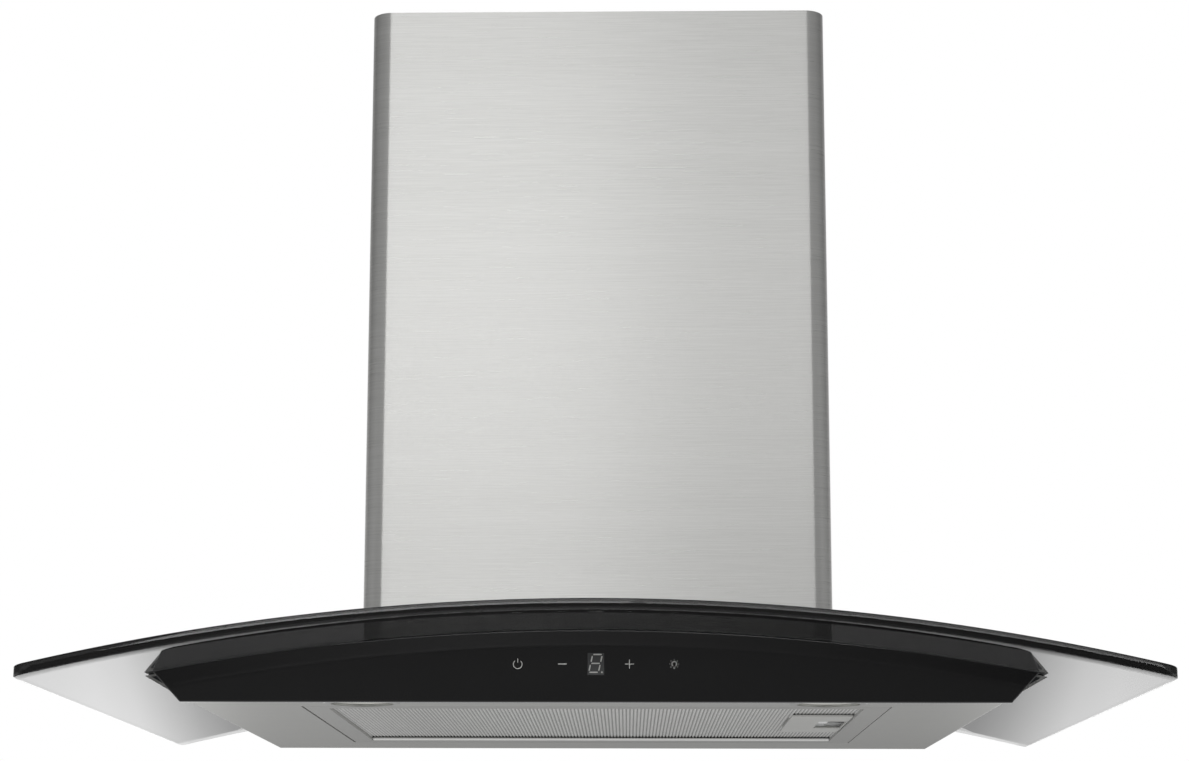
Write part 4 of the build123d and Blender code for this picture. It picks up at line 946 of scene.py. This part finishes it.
def digit_bars():
    """Seven bars and a point."""
    bars = []
    half = SEGMENT_HALF - SEGMENT_INSET
    for z in (-SEGMENT_RISE, 0.0, SEGMENT_RISE):
        bars += bar(*leaning(-half, z), *leaning(half, z), SEGMENT_STROKE)
    for x in (-SEGMENT_HALF, SEGMENT_HALF):
        for low in (-SEGMENT_RISE, 0.0):
            foot = leaning(x, low + 2 * SEGMENT_INSET)
            bars += bar(*foot, *leaning(x, low + SEGMENT_RISE - 2 * SEGMENT_INSET), SEGMENT_STROKE)
    dot_x, dot_z = leaning(SEGMENT_HALF + POINT_OFFSET, -SEGMENT_RISE)
    turns = [math.radians(angle) for angle in range(0, 360, 30)]
    bars.append([(dot_x + POINT_RADIUS * math.cos(turn), dot_z + POINT_RADIUS * math.sin(turn))
                 for turn in turns])
    return bars


display_face = patchy("display_window_ink", 0.4, 2.0, ("#343536", "#3C3D3E"), (0.25, 0.45), IOR=1.5)
segment_ink = patchy("display_segment_diffuser", 0.4, 2.0, ("#B8B8B6", "#C4C4C2"), (0.35, 0.55), IOR=1.5)
window = [[(sx * DIGIT_WIDTH / 2, sz * DIGIT_HEIGHT / 2) for sx, sz in SQUARE]]
new_piece("display_window", *ink_mesh(window, 0.0), display_face, "black_plastic")
segments = digit_bars()
new_piece("display_segments", *ink_mesh(segments, 0.0, under=INK_FILM), segment_ink, "white_plastic")
print("display:", len(segments), "shapes in a window of", DIGIT_WIDTH, "by", DIGIT_HEIGHT, "mm")

# %% [markdown]
# ## The studio
# A product like this is shot in a white cove with two large softboxes behind the camera, one
# to each side.  The brushed chimney mirrors them, and because the left one is stronger, the
# face is brighter on the left with a soft step near the middle.  In front of the lower end of
# each box hangs a brighter strip, which lifts the chimney's foot, and a wide softbox above
# lights the hood from the top.  The lamps are hidden from the camera.

# %% Softboxes
def softbox(name, centre, width, height, aim, radiance, lean=0.0):
    """Rectangular area lamp of a given brightness, facing a point; lean tips it, in degrees."""
    lamp = bpy.data.lights.new(name, "AREA")
    lamp.shape = "RECTANGLE"
    lamp.size, lamp.size_y = width, height
    lamp.energy = radiance * math.pi * width * height
    holder = bpy.data.objects.new(name, lamp)
    holder.location = centre
    facing = (Vector(aim) - Vector(centre)).to_track_quat("-Z", "Y").to_matrix()
    holder.rotation_euler = (Matrix.Rotation(math.radians(lean), 3, "Y") @ facing).to_euler()
    holder.visible_camera = False
    bpy.context.scene.collection.objects.link(holder)


softbox("left_softbox", (-0.37, -3.0, 1.0), 0.84, 1.16, (-0.37, 0.0, 1.0), 1.5, lean=6.0)
softbox("right_softbox", (0.57, -3.0, 0.99), 1.04, 1.14, (0.57, 0.0, 0.99), 0.9, lean=6.0)
softbox("low_strip_left", (-0.38, -2.99, 0.58), 0.82, 0.28, (-0.38, 0.0, 0.58), 2.1)
softbox("low_strip_right", (0.55, -2.99, 0.58), 1.0, 0.28, (0.55, 0.0, 0.58), 1.0)
softbox("top_softbox", (0.0, -0.6, 2.4), 2.0, 1.4, (0.0, -0.2, 0.3), 0.7)
print("lamps:", len(bpy.data.lights))

# %% [markdown]
# Mirrors need something to mirror.  Two upright cards do that job, as cards do in a studio.
# One stands for the wall below the hood: it is bright at the sides and dim in the middle,
# where the hood's own shadow lies, and that is the soft gradient under the glass wings.  The
# other stands for the dim floor of the room in front, under the softboxes, and keeps the touch
# panel black.  Cards are only seen in mirrors, never by the camera.

# %% Reflector cards
BRIGHTEST = 2.0


def fade(ramp, stops):
    """Set a colour ramp to grey strengths, as shares of the brightest one."""
    while len(ramp.elements) < len(stops):
        ramp.elements.new(1.0)
    for element, (place, strength) in zip(ramp.elements, stops):
        element.position = place
        element.color = [strength / BRIGHTEST] * 3 + [1.0]


def reflector_card(name, y, left, right, low, high, stops):
    """Upright card that only mirrors see; stops are (place across from 0 to 1, strength)."""
    sheet = bpy.data.meshes.new(name)
    corners = [(left, y, low), (right, y, low), (right, y, high), (left, y, high)]
    sheet.from_pydata(corners, [], [(0, 1, 2, 3)])
    paper = bpy.data.materials.new(name)
    paper.use_nodes = True
    tree = paper.node_tree
    tree.nodes.remove(tree.nodes["Principled BSDF"])
    place = add(tree, "ShaderNodeTexCoord").outputs["Generated"]
    across = add(tree, "ShaderNodeSeparateXYZ", {0: place}).outputs["X"]
    ramp = add(tree, "ShaderNodeValToRGB", {"Fac": across})
    fade(ramp.color_ramp, stops)
    glow = add(tree, "ShaderNodeEmission", {"Strength": BRIGHTEST, "Color": ramp.outputs["Color"]})
    tree.links.new(glow.outputs["Emission"], tree.nodes["Material Output"].inputs["Surface"])
    sheet.materials.append(paper)
    card = bpy.data.objects.new(name, sheet)
    bpy.context.scene.collection.objects.link(card)
    for ray in ("camera", "diffuse", "transmission", "volume_scatter", "shadow"):
        setattr(card, "visible_" + ray, False)


WALL_REACH = 0.5
RIGHT_SHARE = 0.86

wall_profile = [(0.25, 0.5), (0.267, 0.53), (0.287, 0.72), (0.307, 1.0),
                (0.327, 1.3), (0.35, 1.45), (0.5, 1.4)]
wall_stops = [((WALL_REACH + side * x) / (2 * WALL_REACH), strength * share)
              for side, share in ((-1, 1.0), (1, RIGHT_SHARE)) for x, strength in wall_profile]
reflector_card("wall_card", 0.06, -WALL_REACH, WALL_REACH, -0.6, 0.0, sorted(wall_stops))
reflector_card("room_card", -2.9, -0.95, 0.95, -0.1, 0.44, [(0.0, 0.3), (0.5, 0.27), (1.0, 0.21)])
print("the wall card has", len(wall_stops), "stops across", 2 * WALL_REACH, "m")

# %% [markdown]
# ## The room in the mirrors
# What the cards leave open is the world.  Above the horizon, mirrored light finds a room: pale
# near the softboxes, dim at the sides, which draws the dark strips on the round chimney
# corners, and bright behind the hood.  Towards the ceiling it gets a little dimmer.  The
# directions are the world's own, so nothing in them changes when the camera moves.

# %% Room above the horizon
HORIZON_GAIN = 1.08
CEILING_GAIN = 0.8

world = bpy.data.worlds.new("white_cove")
bpy.context.scene.world = world
world.use_nodes = True
cove = world.node_tree
ray_direction = add(cove, "ShaderNodeTexCoord").outputs["Generated"]
direction = add(cove, "ShaderNodeSeparateXYZ", {0: ray_direction}).outputs
depth = add(cove, "ShaderNodeMapRange",
            {"Value": direction["Y"], "From Min": -1.0, "From Max": 1.0}).outputs["Result"]
room = add(cove, "ShaderNodeValToRGB", {"Fac": depth})
fade(room.color_ramp, [(0.0, 0.68), (0.2, 0.38), (0.68, 0.2), (0.9, 0.45), (1.0, 1.2)])
ceiling = add(cove, "ShaderNodeMapRange",
              {"Value": direction["Z"], "From Min": 0.12, "From Max": 0.4,
               "To Min": HORIZON_GAIN * BRIGHTEST, "To Max": CEILING_GAIN * BRIGHTEST}).outputs["Result"]
upper = add(cove, "ShaderNodeMath", {0: room.outputs["Color"], 1: ceiling}, operation="MULTIPLY").outputs[0]
print("room:", len(room.color_ramp.elements), "stops from the camera's side to the wall")

# %% [markdown]
# Below the horizon mirrored light finds a floor.  In front it has one paler patch, a little to
# the left, and brushed steel, which spreads light up and down, picks some of it up.  Away from
# the front the floor is evenly pale.

# %% Floor in the mirrors
EVEN_FLOOR = 0.9

side = add(cove, "ShaderNodeMapRange",
           {"Value": direction["X"], "From Min": -0.2, "From Max": 0.2}).outputs["Result"]
patch = add(cove, "ShaderNodeValToRGB", {"Fac": side})
fade(patch.color_ramp, [(0.1, 0.3), (0.25, 0.55), (0.38, 0.74), (0.5, 0.6), (0.8, 0.22)])
front_floor = add(cove, "ShaderNodeMath",
                  {0: patch.outputs["Color"], 1: BRIGHTEST}, operation="MULTIPLY").outputs[0]
away = add(cove, "ShaderNodeMapRange",
           {"Value": direction["Y"], "From Min": -0.95, "From Max": -0.5}).outputs["Result"]
lower = add(cove, "ShaderNodeMix", {0: away, 2: front_floor, 3: EVEN_FLOOR}).outputs[0]
print("front floor:", len(patch.color_ramp.elements), "stops from left to right")

# %% [markdown]
# The backdrop is plain white for the camera and for light that has passed the glass.  Mirrored
# light gets the room and the floor, and all other light gets an even fill.

# %% Who sees what
FILL_LIGHT = 0.55

height = add(cove, "ShaderNodeMapRange",
             {"Value": direction["Z"], "From Min": -0.03, "From Max": 0.03}).outputs["Result"]
mirror = add(cove, "ShaderNodeMix", {0: height, 2: lower, 3: upper}).outputs[0]
rays = add(cove, "ShaderNodeLightPath").outputs
lit = add(cove, "ShaderNodeMix", {0: rays["Is Glossy Ray"], 2: FILL_LIGHT, 3: mirror}).outputs[0]
seen = add(cove, "ShaderNodeMath", {0: rays["Is Camera Ray"], 1: rays["Is Transmission Ray"]},
           operation="MAXIMUM").outputs[0]
strength = add(cove, "ShaderNodeMix", {0: seen, 2: lit, 3: 1.0}).outputs[0]
cove.links.new(strength, cove.nodes["Background"].inputs["Strength"])
cove.nodes["Background"].inputs["Color"].default_value = linear("#FFFFFF")
print("world nodes:", len(cove.nodes))

# %% [markdown]
# ## Floor and overhead light
# A pale matt floor takes the hood's soft shadow.  It lies deep, so that the hood can also be
# seen from below, and a wide, weak sun straight overhead lights it.  Both are left out of
# mirrors, where the world's own floor stands in for this one.

# %% Floor
FLOOR_DROP = 4.0
FLOOR_HALF = 40.0

floor_mesh = bpy.data.meshes.new("cove_floor")
floor_corners = [(sx * FLOOR_HALF, sy * FLOOR_HALF, -FLOOR_DROP) for sx, sy in SQUARE]
floor_mesh.from_pydata(floor_corners, [], [(0, 1, 2, 3)])
floor_paint, floor_tree, floor_shader = new_material("matt_floor_paint", Roughness=0.9)
paint_noise = add(floor_tree, "ShaderNodeTexNoise", {"Scale": per_mm(400.0), "Detail": 3.0}).outputs["Fac"]
drive(floor_tree, floor_shader, paint_noise, tones=("#F1F1EF", "#F6F6F4"))
floor_mesh.materials.append(floor_paint)
floor = bpy.data.objects.new("cove_floor", floor_mesh)
bpy.context.scene.collection.objects.link(floor)
floor.visible_glossy = False
print("floor:", 2 * FLOOR_HALF, "m square,", FLOOR_DROP, "m below the hood's seat")

# %% Overhead light
overhead = bpy.data.lights.new("overhead_light", "SUN")
overhead.energy = 1.4
overhead.angle = math.radians(25)
overhead_holder = bpy.data.objects.new("overhead_light", overhead)
bpy.context.scene.collection.objects.link(overhead_holder)
overhead_holder.visible_glossy = False
print("overhead light:", round(overhead.energy, 2), "W per square metre")

# %% [markdown]
# ## Settings
# The Standard view keeps colours as they are written.

# %% Finish
bpy.context.scene.view_settings.view_transform = "Standard"
